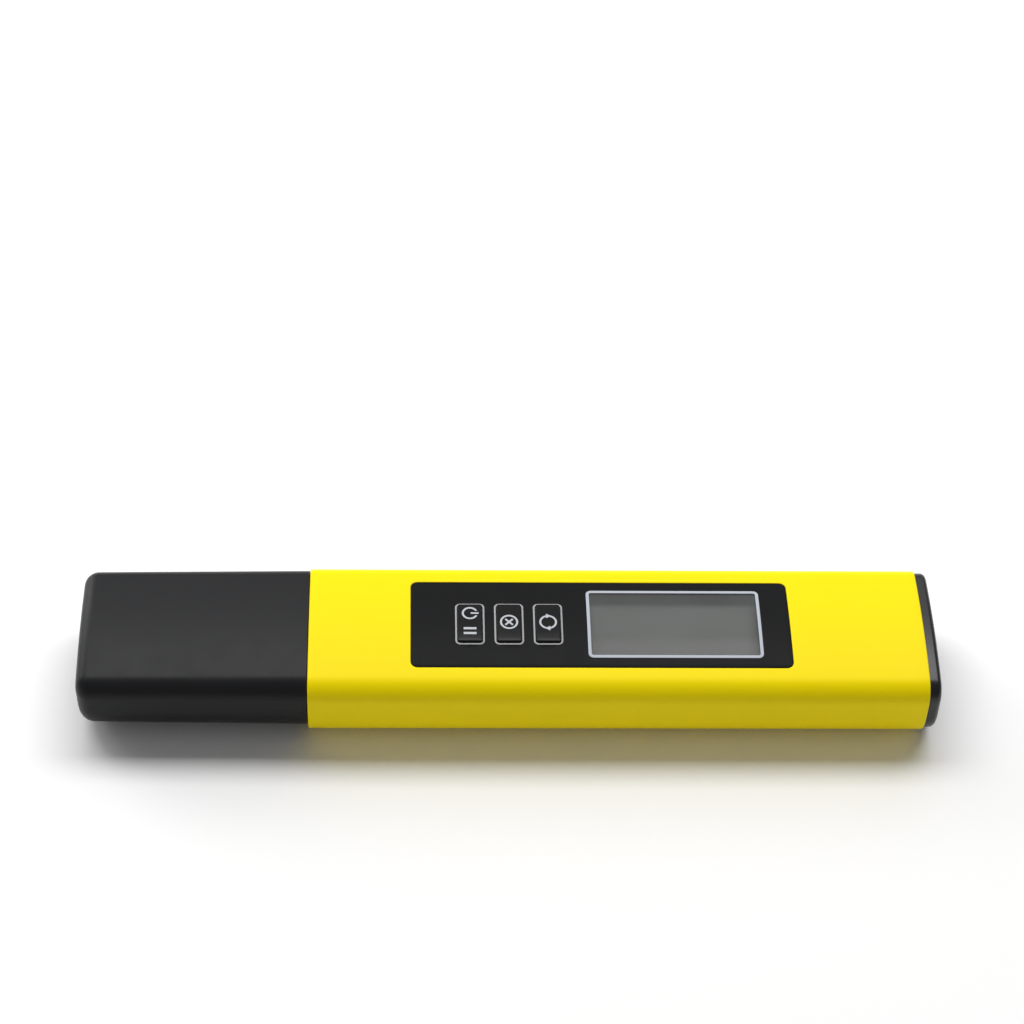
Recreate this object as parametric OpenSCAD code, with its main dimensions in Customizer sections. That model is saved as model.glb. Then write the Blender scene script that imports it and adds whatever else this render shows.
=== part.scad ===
// Pen-type digital pH meter: a one-piece housing with a membrane panel, an
// inner board and display stack, a sensor head with its storage cap, and a
// battery drawer in the far end.
//
// +X runs along the pen towards the battery end, +Z points out of the front
// face, and the back lies on z = 0. The origin is under the middle of the pen.

/* [Pen] */
// Length of the housing
housing_l = 111.4; // [111:0.1:114]
// Length of the cap
cap_l = 41.3; // [40:0.1:44]
// Thickness of the end cover beyond the housing
cover_l = 2.2; // [1.8:0.1:3]
// Gap between the cap's mouth and the housing
seam_gap = 0.1; // [0.1:0.05:0.4]
// Width across the front face
body_w = 30.5; // [30:0.1:31.5]
// Thickness from the back to the middle of the front face
body_t = 17.1; // [17:0.1:18]
// Wall thickness of the housing
wall = 1.8; // [1.6:0.1:2]
// Radius of the shallow arc across the front face
crown_r = 86; // [75:1:120]
// Radius of the two long edges of the front face
front_r = 3.9; // [3.5:0.1:4.5]
// Radius of the two long edges of the back
back_r = 8.5; // [7:0.1:9]

/* [Cap] */
// How much narrower the cap is than the housing, each side
cap_step = 0.35; // [0.1:0.05:0.4]
// How far the cap's face is below the housing's face
cap_drop = 0.1; // [0.1:0.1:0.3]
// How far the cap's underside is above the housing's back
cap_lift = 0.8; // [0.5:0.05:0.9]
// Wall thickness of the cap
cap_wall = 1.6; // [1.4:0.1:1.7]
// Thickness of the cap's closed end
cap_end = 2.2; // [2:0.1:3]
// Rounding of the closed end
cap_round = 3.2; // [2:0.1:3.8]
// Thickness of the storage sponge
sponge_l = 3.6; // [2:0.1:4]

/* [Panel] */
// Distance from the cap end of the housing to the panel
panel_from_seam = 18.35; // [18:0.05:19]
// Length of the panel
panel_l = 68.75; // [68:0.05:70]
// Width of the panel
panel_w = 20; // [19.6:0.1:20.4]
// Corner radius of the panel
panel_r = 1.3; // [1:0.1:2.5]
// Depth of the panel's recess
recess = 0.5; // [0.4:0.05:0.6]
// How far the panel lies below the housing's face
panel_sink = 0.05; // [0.02:0.01:0.1]
// Thickness of the printed ink
ink = 0.03; // [0.02:0.01:0.04]

/* [Display window] */
// Distance from the window's frame line to the battery end of the panel
window_from_end = 5.26; // [5:0.02:6]
// Length of the window's frame line, outside
window_l = 31.58; // [31:0.01:32]
// Width of the window's frame line, outside
window_w = 15.7; // [15:0.02:15.8]
// Thickness of the frame line
window_line = 0.57; // [0.4:0.01:0.7]
// Corner radius of the frame line, outside
window_r = 0.95; // [0.8:0.05:1.5]

/* [Keys] */
// Distance from the panel's cap end to the middle of the first key
key_from_edge = 10.7; // [10:0.02:11]
// Distance between the keys
key_pitch = 7.06; // [6.8:0.01:7.3]
// Sideways place of the keys
key_y = -0.3; // [-0.5:0.01:0.5]
// Length of a key's outline, along the pen
key_l = 5.3; // [5:0.01:5.5]
// Width of a key's outline, across the pen
key_w = 9.5; // [9:0.02:10]
// Thickness of the outline
key_line = 0.32; // [0.25:0.01:0.4]
// Corner radius of the outline
key_r = 0.9; // [0.8:0.05:1.1]
// Gap round a key's pad
key_gap = 0.14; // [0.1:0.01:0.2]
// How far a key's pad stands above the panel
key_rise = 0.5; // [0.2:0.05:0.5]

/* [Sensor] */
// Length of the sensor head inside the housing
head_l = 8; // [7:0.1:8.4]
// Length of the neck that carries the cap
neck_l = 8.8; // [8:0.1:9.5]
// Outer radius of the probe guard
guard_r = 6.4; // [6.2:0.1:6.6]
// Wall thickness of the probe guard
guard_wall = 1.1; // [1:0.1:1.2]
// Length of the probe guard beyond the neck
guard_l = 25.4; // [24:0.1:25.5]
// Radius of the electrode's tube
electrode_r = 4.6; // [4.2:0.1:4.8]
// Radius of the glass bulb
bulb_r = 3.4; // [3:0.1:3.8]
// Radius of the temperature probe
probe_r = 1.5; // [1.2:0.1:1.8]
// Sideways place of the temperature probe
probe_y = 9.6; // [9.2:0.1:9.8]

/* [Board and display] */
// Height of the top of the circuit board
board_z = 9.4; // [9.2:0.1:9.6]
// Thickness of the circuit board
board_t = 1.2; // [1:0.1:1.6]
// Width of the circuit board
board_w = 25.6; // [25:0.1:25.8]
// Length of the display glass
glass_l = 36; // [35:0.1:37]
// Width of the display glass
glass_w = 20; // [19.5:0.1:20.2]
// Thickness of the display glass
glass_t = 2.6; // [2.2:0.1:2.8]
// Height of the top of the display glass
glass_z = 14.4; // [14.2:0.1:14.4]

/* [Battery drawer] */
// Diameter of a button cell
cell_d = 11.6; // [11.4:0.1:11.6]
// Height of a button cell
cell_h = 5.4; // [5:0.1:5.4]
// Step from the housing's outside to the end cover's
cover_step = 0.35; // [0.3:0.05:0.6]
// Rounding of the end cover's edge
cover_edge = 1; // [0.5:0.1:1.4]
// Length of the drawer's tray
tray_l = 13.8; // [13.6:0.1:14.5]
// Length of the end cover inside the housing
skirt_l = 2.4; // [2.2:0.1:2.8]

/* [Hidden] */
$fn = 72;

fine = 360;      // facets of the wide crown arc
cut = 1;         // how far a cutting solid runs past what it cuts
slide = 0.3;     // clearance between parts that slide past each other
snug = 0.08;     // clearance of a seal in its bore
fit_gap = 0.02;  // clearance of parts that are pushed together
least_r = 0.8;   // smallest edge radius of an inset section

// Places along the pen
overall_l = cap_l + seam_gap + housing_l + cover_l;
x_tip = -overall_l / 2;
x_mouth = x_tip + cap_l;
x_front = x_mouth + seam_gap;
x_back = x_front + housing_l;
x_cover = x_back + cover_l;
x_skirt = x_back - skirt_l;
x_tray = x_skirt - tray_l;
x_head = x_front + head_l;
x_neck = x_front - neck_l;
x_guard = x_neck - guard_l;

// Panel, window and keys
panel_x = x_front + panel_from_seam + panel_l / 2;
window_x = panel_x + panel_l / 2 - window_from_end - window_l / 2;
pane_l = window_l - 2 * window_line;
pane_w = window_w - 2 * window_line;
key_x = [for (i = [0:2]) panel_x - panel_l / 2 + key_from_edge + i * key_pitch];
key_hole_l = key_l - 2 * key_line;
key_hole_w = key_w - 2 * key_line;
key_hole_r = key_r - key_line;
icon_r = 1.45;       // outer radius of a round icon
icon_line = 0.36;    // line width of the icons
icon_shift = 2.05;   // sideways place of the two icons on the first key

// Board stack
board_x0 = x_head + 3;
board_x1 = x_tray - 2.4;
carrier_x0 = x_head + 0.3;
carrier_x1 = x_tray - 1.4;
carrier_inset = wall + 0.15;
carrier_wall = 1.2;
holder_l = glass_l + 2.4;
holder_w = glass_w + 2.2;
switch_a = 4.6;
switch_h = 2.2;
button_r = 1.1;
button_top = board_z + switch_h + 0.8;
stem_r = 1.3;
screw_x = [board_x0 + 3.2, board_x1 - 3.2];

// Sensor and battery
axis_z = 8.9;
neck_inset = cap_wall + slide;
seal_x = x_neck + 3.2;
seal_w = 1.6;
tube_end = x_guard + 10;
cell_y = 6.1;
cell_x = x_tray + 1.2 + cell_d / 2;
cell_z = 5.8;
link_t = 0.2;
tray_top = cell_z + cell_h + 0.1;

// ---------------------------------------------------------------- shapes

// Cross-section of the pen in its own plane: a shallow arc in front, two
// rounded front edges, flat sides, two rounder back edges and a flat back.
module section(w, low, high, arc, rf, rb) {
    mid = high - arc;
    fy = w / 2 - rf;
    fz = mid + sqrt(pow(arc - rf, 2) - fy * fy);
    meet = fy * arc / (arc - rf);
    union() {
        intersection() {
            translate([0, mid]) circle(r = arc, $fn = fine);
            translate([-meet, fz]) square([2 * meet, high - fz + cut]);
        }
        for (side = [-1, 1]) {
            translate([side * fy, fz]) circle(r = rf);
            translate([side * (w / 2 - rb), low + rb]) circle(r = rb);
        }
        translate([-w / 2, low + rb]) square([w, fz - low - rb]);
        translate([-(w / 2 - rb), low]) square([w - 2 * rb, rb + 0.5]);
    }
}

// The housing's section, moved inwards by inset
module body_section(inset = 0) {
    section(body_w - 2 * inset, inset, body_t - inset, crown_r - inset,
            max(front_r - inset, least_r), max(back_r - inset, least_r));
}

// The cap's section, moved inwards by inset
module cap_section(inset = 0) {
    drop = cap_drop + inset;
    section(body_w - 2 * (cap_step + inset), cap_lift + inset, body_t - drop, crown_r - drop,
            max(front_r - inset, least_r), max(back_r - inset, least_r));
}

// Stands a section up and runs it along the pen from x0 to x1
module along(x0, x1) {
    translate([x0, 0, 0]) rotate([90, 0, 90]) linear_extrude(x1 - x0) children();
}

// Rectangle with round corners, centred
module round_rect(l, w, r) {
    square([l - 2 * r, w], center = true);
    square([l, w - 2 * r], center = true);
    for (sx = [-1, 1], sy = [-1, 1])
        translate([sx * (l / 2 - r), sy * (w / 2 - r)]) circle(r = r);
}

// Frame line between an outer rounded rectangle and one line width inside it
module round_frame(l, w, r, line) {
    difference() {
        round_rect(l, w, r);
        round_rect(l - 2 * line, w - 2 * line, r - line);
    }
}

// Keeps the part of a flat outline's prism that lies between two heights
// above the crowned front face
module on_face(low, high) {
    intersection() {
        along(x_front, x_back) difference() {
            translate([0, body_t - crown_r]) circle(r = crown_r + high, $fn = fine);
            translate([0, body_t - crown_r]) circle(r = crown_r + low, $fn = fine);
        }
        translate([0, 0, body_t - 4]) linear_extrude(8) children();
    }
}

// Box from its two corners
module block(a, b) {
    translate(a) cube(b - a);
}

// Rounds the end at x_end of what it holds, in top view and in side view
module soft_end(x_end, x_far, w, low, high, r) {
    l = abs(x_far - x_end);
    intersection() {
        children();
        translate([(x_end + x_far) / 2, 0, low - cut])
            linear_extrude(high - low + 2 * cut) round_rect(l, w, r);
        translate([(x_end + x_far) / 2, w / 2 + cut, (low + high) / 2])
            rotate([90, 0, 0]) linear_extrude(w + 2 * cut) round_rect(l, high - low, r);
    }
}

// Round rod along X
module rod_x(x0, x1, r, y = 0, z = axis_z) {
    translate([x0, y, z]) rotate([0, 90, 0]) cylinder(r = r, h = x1 - x0);
}

// Quarter bend of a round wire in the XZ plane, from turn to turn + 90 degrees
// about its centre
module elbow(x, y, z, turn, bend, r) {
    translate([x, y, z]) rotate([90, 0, 0]) rotate(turn)
        rotate_extrude(angle = 90) translate([bend, 0]) circle(r = r);
}

// --------------------------------------------------------------- housing

module housing() {
    color("gold") difference() {
        along(x_front, x_back) body_section();
        along(x_front - cut, x_back + cut) body_section(wall);
        on_face(-recess, 2) translate([panel_x, 0]) round_rect(panel_l, panel_w, panel_r);
        translate([window_x, 0, body_t - 4]) linear_extrude(6)
            round_rect(window_l + 1.4, window_w + 1.6, window_r);
        for (x = key_x) translate([x, key_y, body_t - 4]) linear_extrude(6)
            round_rect(key_l + 0.2, key_w + 0.2, key_r);
    }
}

// ----------------------------------------------------------------- panel

module overlay() {
    color("dimgray") difference() {
        on_face(-recess, -panel_sink)
            translate([panel_x, 0]) round_rect(panel_l, panel_w, panel_r);
        translate([window_x, 0, body_t - 4]) linear_extrude(6)
            round_rect(pane_l, pane_w, window_r - window_line);
        for (x = key_x) translate([x, key_y, body_t - 4]) linear_extrude(6)
            round_rect(key_hole_l, key_hole_w, key_hole_r);
    }
}

module lcd_window() {
    color([0.8, 0.85, 0.85, 0.4]) on_face(-recess, -panel_sink)
        translate([window_x, 0]) round_rect(pane_l, pane_w, window_r - window_line);
}

module window_line_print() {
    color("lightsteelblue") on_face(-panel_sink, ink - panel_sink)
        translate([window_x, 0]) round_frame(window_l, window_w, window_r, window_line);
}

module key_outline(i) {
    color("silver") on_face(-panel_sink, ink - panel_sink)
        translate([key_x[i], key_y]) round_frame(key_l, key_w, key_r, key_line);
}

// ------------------------------------------------------------------ keys

module key(i) {
    color([0.15, 0.15, 0.16]) union() {
        on_face(-recess, key_rise - panel_sink) translate([key_x[i], key_y])
            round_rect(key_hole_l - 2 * key_gap, key_hole_w - 2 * key_gap,
                       key_hole_r - key_gap);
        translate([key_x[i], key_y, button_top])
            cylinder(r = stem_r, h = body_t - recess / 2 - button_top);
    }
}

// Prints a flat icon on top of key i; up on the icon is along +X
module on_key(i) {
    color("gainsboro") on_face(key_rise - panel_sink, key_rise - panel_sink + ink)
        translate([key_x[i], key_y]) rotate(-90) children();
}

module ring_2d(r, line) {
    difference() {
        circle(r = r);
        circle(r = r - line);
    }
}

// Power symbol beside two pause bars
module icon_power() {
    on_key(0) {
        translate([-icon_shift, 0]) {
            difference() {
                ring_2d(icon_r, icon_line);
                translate([-0.55, 0]) square([1.1, 2]);
            }
            translate([-icon_line / 2, 0.15]) square([icon_line, icon_r]);
        }
        translate([icon_shift, 0]) for (side = [-1, 1])
            translate([side * 0.55 - 0.25, -1.15]) square([0.5, 2.3]);
    }
}

// Cross in a ring
module icon_clear() {
    on_key(1) union() {
        ring_2d(icon_r + 0.2, icon_line);
        for (turn = [45, -45]) rotate(turn) square([1.9, icon_line], center = true);
    }
}

// Two arrows that chase each other round a circle
module icon_mode() {
    on_key(2) for (turn = [0, 180]) rotate(turn) {
        difference() {
            ring_2d(icon_r + 0.15, icon_line);
            translate([-3, -3]) square([6, 3.35]);
        }
        translate([icon_r - 0.03, 0.05]) rotate(-90) circle(r = 0.62, $fn = 3);
    }
}

module switch_button(i) {
    color("ivory") translate([key_x[i], key_y, board_z + 1])
        cylinder(r = button_r, h = button_top - board_z - 1);
}

module switch_body(i) {
    color("gray") difference() {
        translate([key_x[i], key_y, board_z + switch_h / 2])
            cube([switch_a, switch_a, switch_h], center = true);
        translate([key_x[i], key_y, board_z + 0.6])
            cylinder(r = button_r + 0.1, h = switch_h);
    }
}

// ----------------------------------------------------- board and display

module board_carrier() {
    color([0.2, 0.2, 0.22]) difference() {
        union() {
            difference() {
                intersection() {
                    along(carrier_x0, carrier_x1) body_section(carrier_inset);
                    block([carrier_x0, -body_w / 2, 0],
                          [carrier_x1, body_w / 2, board_z - board_t]);
                }
                along(carrier_x0 + carrier_wall, carrier_x1 - carrier_wall)
                    body_section(carrier_inset + carrier_wall);
            }
            for (x = screw_x) translate([x, 0, carrier_inset + 0.5])
                cylinder(r = 2.4, h = board_z - board_t - carrier_inset - 0.5);
        }
        for (x = screw_x) translate([x, 0, board_z - board_t - 4]) cylinder(r = 0.8, h = 5);
    }
}

module circuit_board() {
    color("darkgreen") difference() {
        block([board_x0, -board_w / 2, board_z - board_t], [board_x1, board_w / 2, board_z]);
        for (x = screw_x) translate([x, 0, 0]) cylinder(r = 1.1, h = 20);
    }
}

module board_screws() {
    color("silver") for (x = screw_x) translate([x, 0, board_z]) difference() {
        union() {
            cylinder(r = 1.9, h = 1.1);
            translate([0, 0, -board_t - 3]) cylinder(r = 0.8, h = board_t + 3);
        }
        translate([-1.3, -0.2, 0.6]) cube([2.6, 0.4, 1]);
        translate([-0.2, -1.3, 0.6]) cube([0.4, 2.6, 1]);
    }
}

module lcd_holder() {
    color("white") translate([window_x, 0, 0]) difference() {
        block([-holder_l / 2, -holder_w / 2, board_z], [holder_l / 2, holder_w / 2, glass_z - 0.6]);
        block([-glass_l / 2, -glass_w / 2, glass_z - glass_t], [glass_l / 2, glass_w / 2, glass_z]);
        block([-glass_l / 2 + 2, -glass_w / 2 + 0.6, board_z - cut],
              [glass_l / 2 - 2, glass_w / 2 - 0.6, glass_z]);
    }
}

module lcd_glass() {
    color("darkgray") translate([window_x, 0, 0])
        block([-glass_l / 2, -glass_w / 2, glass_z - glass_t], [glass_l / 2, glass_w / 2, glass_z]);
}

// Rubber strip that joins the display to the board; side is 1 or -1
module contact_strip(side) {
    strip_w = 1.8;
    strip_y = glass_w / 2 - 0.6 - strip_w / 2 - 0.2;
    color("pink") translate([window_x, side * strip_y, 0])
        block([-glass_l / 2 + 2.4, -strip_w / 2, board_z],
              [glass_l / 2 - 2.4, strip_w / 2, glass_z - glass_t]);
}

module controller_blob() {
    blob_r = 4.2;
    blob_h = 1.5;
    ball_r = (blob_r * blob_r + blob_h * blob_h) / (2 * blob_h);
    color("black") translate([key_x[0] - 9, 4.8, board_z]) intersection() {
        translate([0, 0, blob_h - ball_r]) sphere(r = ball_r);
        cylinder(r = blob_r + cut, h = blob_h + cut);
    }
}

module amplifier_chip() {
    color("black") translate([key_x[0] - 8.5, -6.5, board_z]) {
        translate([-2.45, -1.95, 0.15]) cube([4.9, 3.9, 1.5]);
        for (i = [0:3], side = [-1, 1])
            translate([-1.905 + i * 1.27 - 0.2, side * 2.5 - 0.55, 0]) cube([0.4, 1.1, 0.35]);
    }
}

module crystal() {
    color("silver") rod_x(key_x[0] - 8, key_x[0] - 2, 1, 10.6, board_z + 1);
}

module capacitors() {
    color("peru") {
        for (i = [-1:1]) translate([key_x[1] + i * 3.5 - 0.9, 8.4, board_z])
            cube([1.8, 3.2, 1.4]);
        for (y = [-9.8, -7.2]) translate([key_x[0] - 4.8, y, board_z])
            cube([1.2, 2, 1.1]);
    }
}

module resistors() {
    color("black") for (x = [key_x[0] + 0.6, board_x1 - 6], i = [0:2])
        translate([x + i * 1.8, -10.8, board_z]) cube([0.8, 1.6, 0.5]);
}

// --------------------------------------------------------------- battery

// Two springy strips that reach from the board over the tray to the cells
module battery_contacts() {
    low = tray_top + 0.15;
    color("goldenrod") for (side = [-1, 1]) translate([0, side * cell_y, 0]) {
        block([board_x1 - 1.6, -1.4, board_z], [board_x1 - 1.3, 1.4, low]);
        block([board_x1 - 1.6, -1.4, low], [cell_x + 1, 1.4, low + 0.3]);
    }
}

module battery_cover() {
    color([0.15, 0.15, 0.16]) union() {
        soft_end(x_cover, x_back - 6, body_w - 2 * cover_step, cover_step,
                 body_t - cover_step, cover_edge)
            along(x_back, x_cover) body_section(cover_step);
        along(x_skirt, x_skirt + 0.5) body_section(wall + slide);
        along(x_skirt + 0.5, x_back - 0.5) body_section(wall + 1.1);
        along(x_back - 0.5, x_back) body_section(wall + slide);
    }
}

module cover_seal() {
    color("firebrick") along(x_skirt + 0.5, x_back - 0.5) difference() {
        body_section(wall + snug);
        body_section(wall + 1.1);
    }
}

module battery_tray() {
    color("dimgray") difference() {
        intersection() {
            along(x_tray, x_skirt) body_section(wall + slide);
            block([x_tray, -body_w / 2, 0], [x_skirt, body_w / 2, tray_top]);
        }
        for (side = [-1, 1]) translate([cell_x, side * cell_y, cell_z])
            cylinder(r = cell_d / 2 + 0.15, h = 20);
        block([cell_x - 2.5, -cell_y, cell_z - link_t], [cell_x + 2.5, cell_y, cell_z]);
        block([x_tray + 2, -4, 0], [x_skirt - 2, 4, cell_z - 1.6]);
    }
}

module battery_link() {
    color("silver")
        block([cell_x - 2.5, -cell_y, cell_z - link_t], [cell_x + 2.5, cell_y, cell_z]);
}

// Button cell: a can with a narrower pole
module battery_cell(side, flip) {
    pole_h = 0.6;
    color("silver") translate([cell_x, side * cell_y, cell_z + (flip ? cell_h : 0)])
        rotate([flip ? 180 : 0, 0, 0]) {
            cylinder(r = cell_d / 2, h = cell_h - pole_h);
            translate([0, 0, cell_h - pole_h]) cylinder(r = cell_d / 2 - 1.1, h = pole_h);
        }
}

// ---------------------------------------------------------------- sensor

module sensor_head() {
    color([0.2, 0.2, 0.22]) difference() {
        union() {
            along(x_front, x_front + 2.6) body_section(wall + fit_gap);
            along(x_front + 2.6, x_front + 4.4) body_section(wall + 1);
            along(x_front + 4.4, x_head) body_section(wall + fit_gap);
            along(x_neck, seal_x) cap_section(neck_inset);
            along(seal_x, seal_x + seal_w) cap_section(neck_inset + 0.9);
            along(seal_x + seal_w, x_front) cap_section(neck_inset);
        }
        rod_x(x_neck - cut, x_head + cut, electrode_r);
        rod_x(x_neck - cut, x_head + cut, probe_r, probe_y);
        rod_x(x_neck - cut, x_neck + 3, guard_r + fit_gap);
    }
}

module head_seal() {
    color("firebrick") along(x_front + 2.6, x_front + 4.4) difference() {
        body_section(wall + fit_gap);
        body_section(wall + 1);
    }
}

module neck_seal() {
    color("firebrick") along(seal_x, seal_x + seal_w) difference() {
        cap_section(cap_wall + snug);
        cap_section(neck_inset + 0.9);
    }
}

// Tube with four open windows round the glass bulb
module probe_guard() {
    window = 2 * (guard_r - guard_wall) * 0.62;
    color([0.25, 0.25, 0.27]) difference() {
        rod_x(x_guard, x_neck + 3, guard_r);
        rod_x(x_guard - cut, x_neck + 4, guard_r - guard_wall);
        for (turn = [0, 90]) translate([x_guard + 2, 0, axis_z]) rotate([turn, 0, 0])
            translate([0, -window / 2, -guard_r - cut]) cube([9.5, window, 2 * guard_r + 2 * cut]);
    }
}

module electrode_tube() {
    color("whitesmoke") difference() {
        rod_x(tube_end, x_head, electrode_r);
        rod_x(tube_end - cut, tube_end + 12, 2);
        rod_x(tube_end + 12 - cut, x_head + cut, 0.6);
        rod_x(tube_end - cut, tube_end + 2.5, 0.5, 3.3);
    }
}

module glass_bulb() {
    bulb_x = x_guard + 5.6;
    color([0.75, 0.85, 0.9, 0.5]) difference() {
        union() {
            rod_x(bulb_x, tube_end + 12, 2);
            translate([bulb_x, 0, axis_z]) sphere(r = bulb_r);
        }
        rod_x(bulb_x, tube_end + 12 + cut, 1.5);
        translate([bulb_x, 0, axis_z]) sphere(r = bulb_r - 0.4);
    }
}

module silver_wire() {
    color("silver") rod_x(x_guard + 6, x_head, 0.3);
}

module reference_wick() {
    color("white") rod_x(tube_end, tube_end + 2.5, 0.5, 3.3);
}

module temperature_probe() {
    color("silver") union() {
        rod_x(x_neck - 14, x_head, probe_r, probe_y);
        translate([x_neck - 14, probe_y, axis_z]) sphere(r = probe_r);
    }
}

// Lead from the back of the sensor head, up over the board's end and down
// onto the board at x_land
module lead(y, rise, x_land, r) {
    bend = 1.2;
    top = board_z + rise;
    x_up = x_head + 0.6;
    union() {
        rod_x(x_head, x_up, r, y);
        elbow(x_up, y, axis_z + bend, 270, bend, r);
        translate([x_up + bend, y, axis_z + bend]) cylinder(r = r, h = top - axis_z - 2 * bend);
        elbow(x_up + 2 * bend, y, top - bend, 90, bend, r);
        rod_x(x_up + 2 * bend, x_land - bend, r, y, top);
        elbow(x_land - bend, y, top - bend, 0, bend, r);
        translate([x_land, y, board_z]) cylinder(r = r, h = rise - bend);
    }
}

module electrode_lead() {
    color("black") lead(0, 2.6, board_x0 + 6.4, 0.55);
}

module temperature_lead() {
    color("red") lead(probe_y, 2.2, board_x0 + 4.4, 0.4);
}

// ------------------------------------------------------------------- cap

module cap() {
    color([0.2, 0.2, 0.21]) difference() {
        soft_end(x_tip, x_mouth + 10, body_w - 2 * cap_step, cap_lift,
                 body_t - cap_drop, cap_round)
            along(x_tip, x_mouth) cap_section();
        along(x_tip + cap_end, x_mouth + cut) cap_section(cap_wall);
    }
}

module cap_sponge() {
    color("wheat") along(x_tip + cap_end, x_tip + cap_end + sponge_l)
        cap_section(cap_wall + 0.05);
}

housing();
overlay();
lcd_window();
window_line_print();
key_outline(0);  // outline_power
key_outline(1);  // outline_clear
key_outline(2);  // outline_mode
key(0);  // key_power
key(1);  // key_clear
key(2);  // key_mode
icon_power();
icon_clear();
icon_mode();
switch_button(0);  // switch_button_power
switch_button(1);  // switch_button_clear
switch_button(2);  // switch_button_mode
switch_body(0);  // switch_body_power
switch_body(1);  // switch_body_clear
switch_body(2);  // switch_body_mode
board_carrier();
circuit_board();
board_screws();
lcd_holder();
lcd_glass();
contact_strip(1);  // contact_strip_far
contact_strip(-1);  // contact_strip_near
controller_blob();
amplifier_chip();
crystal();
capacitors();
resistors();
battery_contacts();
battery_cover();
cover_seal();
battery_tray();
battery_link();
battery_cell(1, false);  // battery_cell_1
battery_cell(-1, true);  // battery_cell_2
sensor_head();
head_seal();
neck_seal();
probe_guard();
electrode_tube();
glass_bulb();
silver_wire();
reference_wick();
temperature_probe();
electrode_lead();
temperature_lead();
cap();
cap_sponge();
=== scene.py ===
"""Looks of a pen-type digital pH meter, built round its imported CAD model.

Lengths in the classes below are millimetres; meshes are written in metres,
in the CAD frame: +X along the pen to the battery end, +Z out of the front
face, the back on z = 0.
"""

import logging
import math
from dataclasses import dataclass
from enum import Enum
from typing import Callable, Iterable, Sequence

import bmesh
import bpy
from mathutils import Matrix, Vector
from mathutils.geometry import delaunay_2d_cdt


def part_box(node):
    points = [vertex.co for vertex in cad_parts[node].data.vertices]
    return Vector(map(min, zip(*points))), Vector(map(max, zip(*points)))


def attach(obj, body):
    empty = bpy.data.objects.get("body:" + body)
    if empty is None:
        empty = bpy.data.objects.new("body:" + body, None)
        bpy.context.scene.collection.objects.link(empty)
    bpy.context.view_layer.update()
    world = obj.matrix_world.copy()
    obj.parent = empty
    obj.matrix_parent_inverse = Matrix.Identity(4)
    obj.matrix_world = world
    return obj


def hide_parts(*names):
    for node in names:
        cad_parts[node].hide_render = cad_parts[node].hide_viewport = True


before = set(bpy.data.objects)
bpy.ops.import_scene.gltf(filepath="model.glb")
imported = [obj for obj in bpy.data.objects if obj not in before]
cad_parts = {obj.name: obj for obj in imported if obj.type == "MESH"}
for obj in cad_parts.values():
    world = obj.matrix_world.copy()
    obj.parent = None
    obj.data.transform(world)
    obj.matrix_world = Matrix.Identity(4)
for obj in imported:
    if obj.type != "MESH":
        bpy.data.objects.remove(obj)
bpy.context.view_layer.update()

log = logging.getLogger("ph_meter")

MM = 0.001
Point2 = tuple[float, float]
Point3 = tuple[float, float, float]
Colour = tuple[float, float, float]


# ------------------------------------------------------------- measuring


def box_mm(node: str) -> tuple[Vector, Vector]:
    """Lowest and highest corner of a CAD node in millimetres.

    Args:
        node: Name of the CAD node.

    Returns:
        The two corners.
    """
    low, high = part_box(node)
    return low / MM, high / MM


# ---------------------------------------------------------- outline maths


@dataclass(frozen=True)
class PenSection:
    """Cross-section of the pen: crowned front, rounded edges, flat back.

    Attributes:
        width: Full width across the front face.
        low: Height of the back.
        high: Height of the middle of the front face.
        crown: Radius of the arc across the front face.
        front_r: Radius of the two front edges.
        back_r: Radius of the two back edges.
        least_r: Smallest radius that an inset edge keeps.
    """

    width: float
    low: float
    high: float
    crown: float
    front_r: float
    back_r: float
    least_r: float = 0.3

    def loop(self, inset: float = 0.0) -> list[Point2]:
        """Points round the section, moved inwards.

        Args:
            inset: How far the outline moves inwards.

        Returns:
            Points (y, z), anticlockwise from the middle of the back, with the
            same count for every inset.
        """
        half = self.width / 2 - inset
        low, high = self.low + inset, self.high - inset
        crown = self.crown - inset
        front_r = max(self.front_r - inset, self.least_r)
        back_r = max(self.back_r - inset, self.least_r)
        middle = high - crown
        front_y = half - front_r
        front_z = middle + math.sqrt((crown - front_r) ** 2 - front_y ** 2)
        meet = math.atan2(front_z - middle, front_y)
        side: list[Point2] = []
        side += [((half - back_r) * i / 4, low) for i in range(4)]
        side += arc((half - back_r, low + back_r), back_r, -math.pi / 2, 0.0, 14)
        side += [(half, low + back_r + (front_z - low - back_r) * i / 3) for i in (1, 2)]
        side += arc((front_y, front_z), front_r, 0.0, meet, 14)
        side += arc((0.0, middle), crown, meet, math.pi / 2, 16)[1:]
        other = [(-y, z) for y, z in reversed(side[1:-1])]
        return side + other

    def face_z(self, y: float) -> float:
        """Height of the crowned front face at a sideways place."""
        return self.high - self.crown + math.sqrt(self.crown ** 2 - y * y)


def arc(centre: Point2, radius: float, start: float, end: float, steps: int) -> list[Point2]:
    """Points along an arc, both ends included.

    Args:
        centre: Centre of the arc.
        radius: Radius of the arc.
        start: Angle of the first point, in radians.
        end: Angle of the last point, in radians.
        steps: Number of steps between the ends.

    Returns:
        The points.
    """
    turn = (end - start) / steps
    return [
        (centre[0] + radius * math.cos(start + i * turn),
         centre[1] + radius * math.sin(start + i * turn))
        for i in range(steps + 1)
    ]


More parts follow.
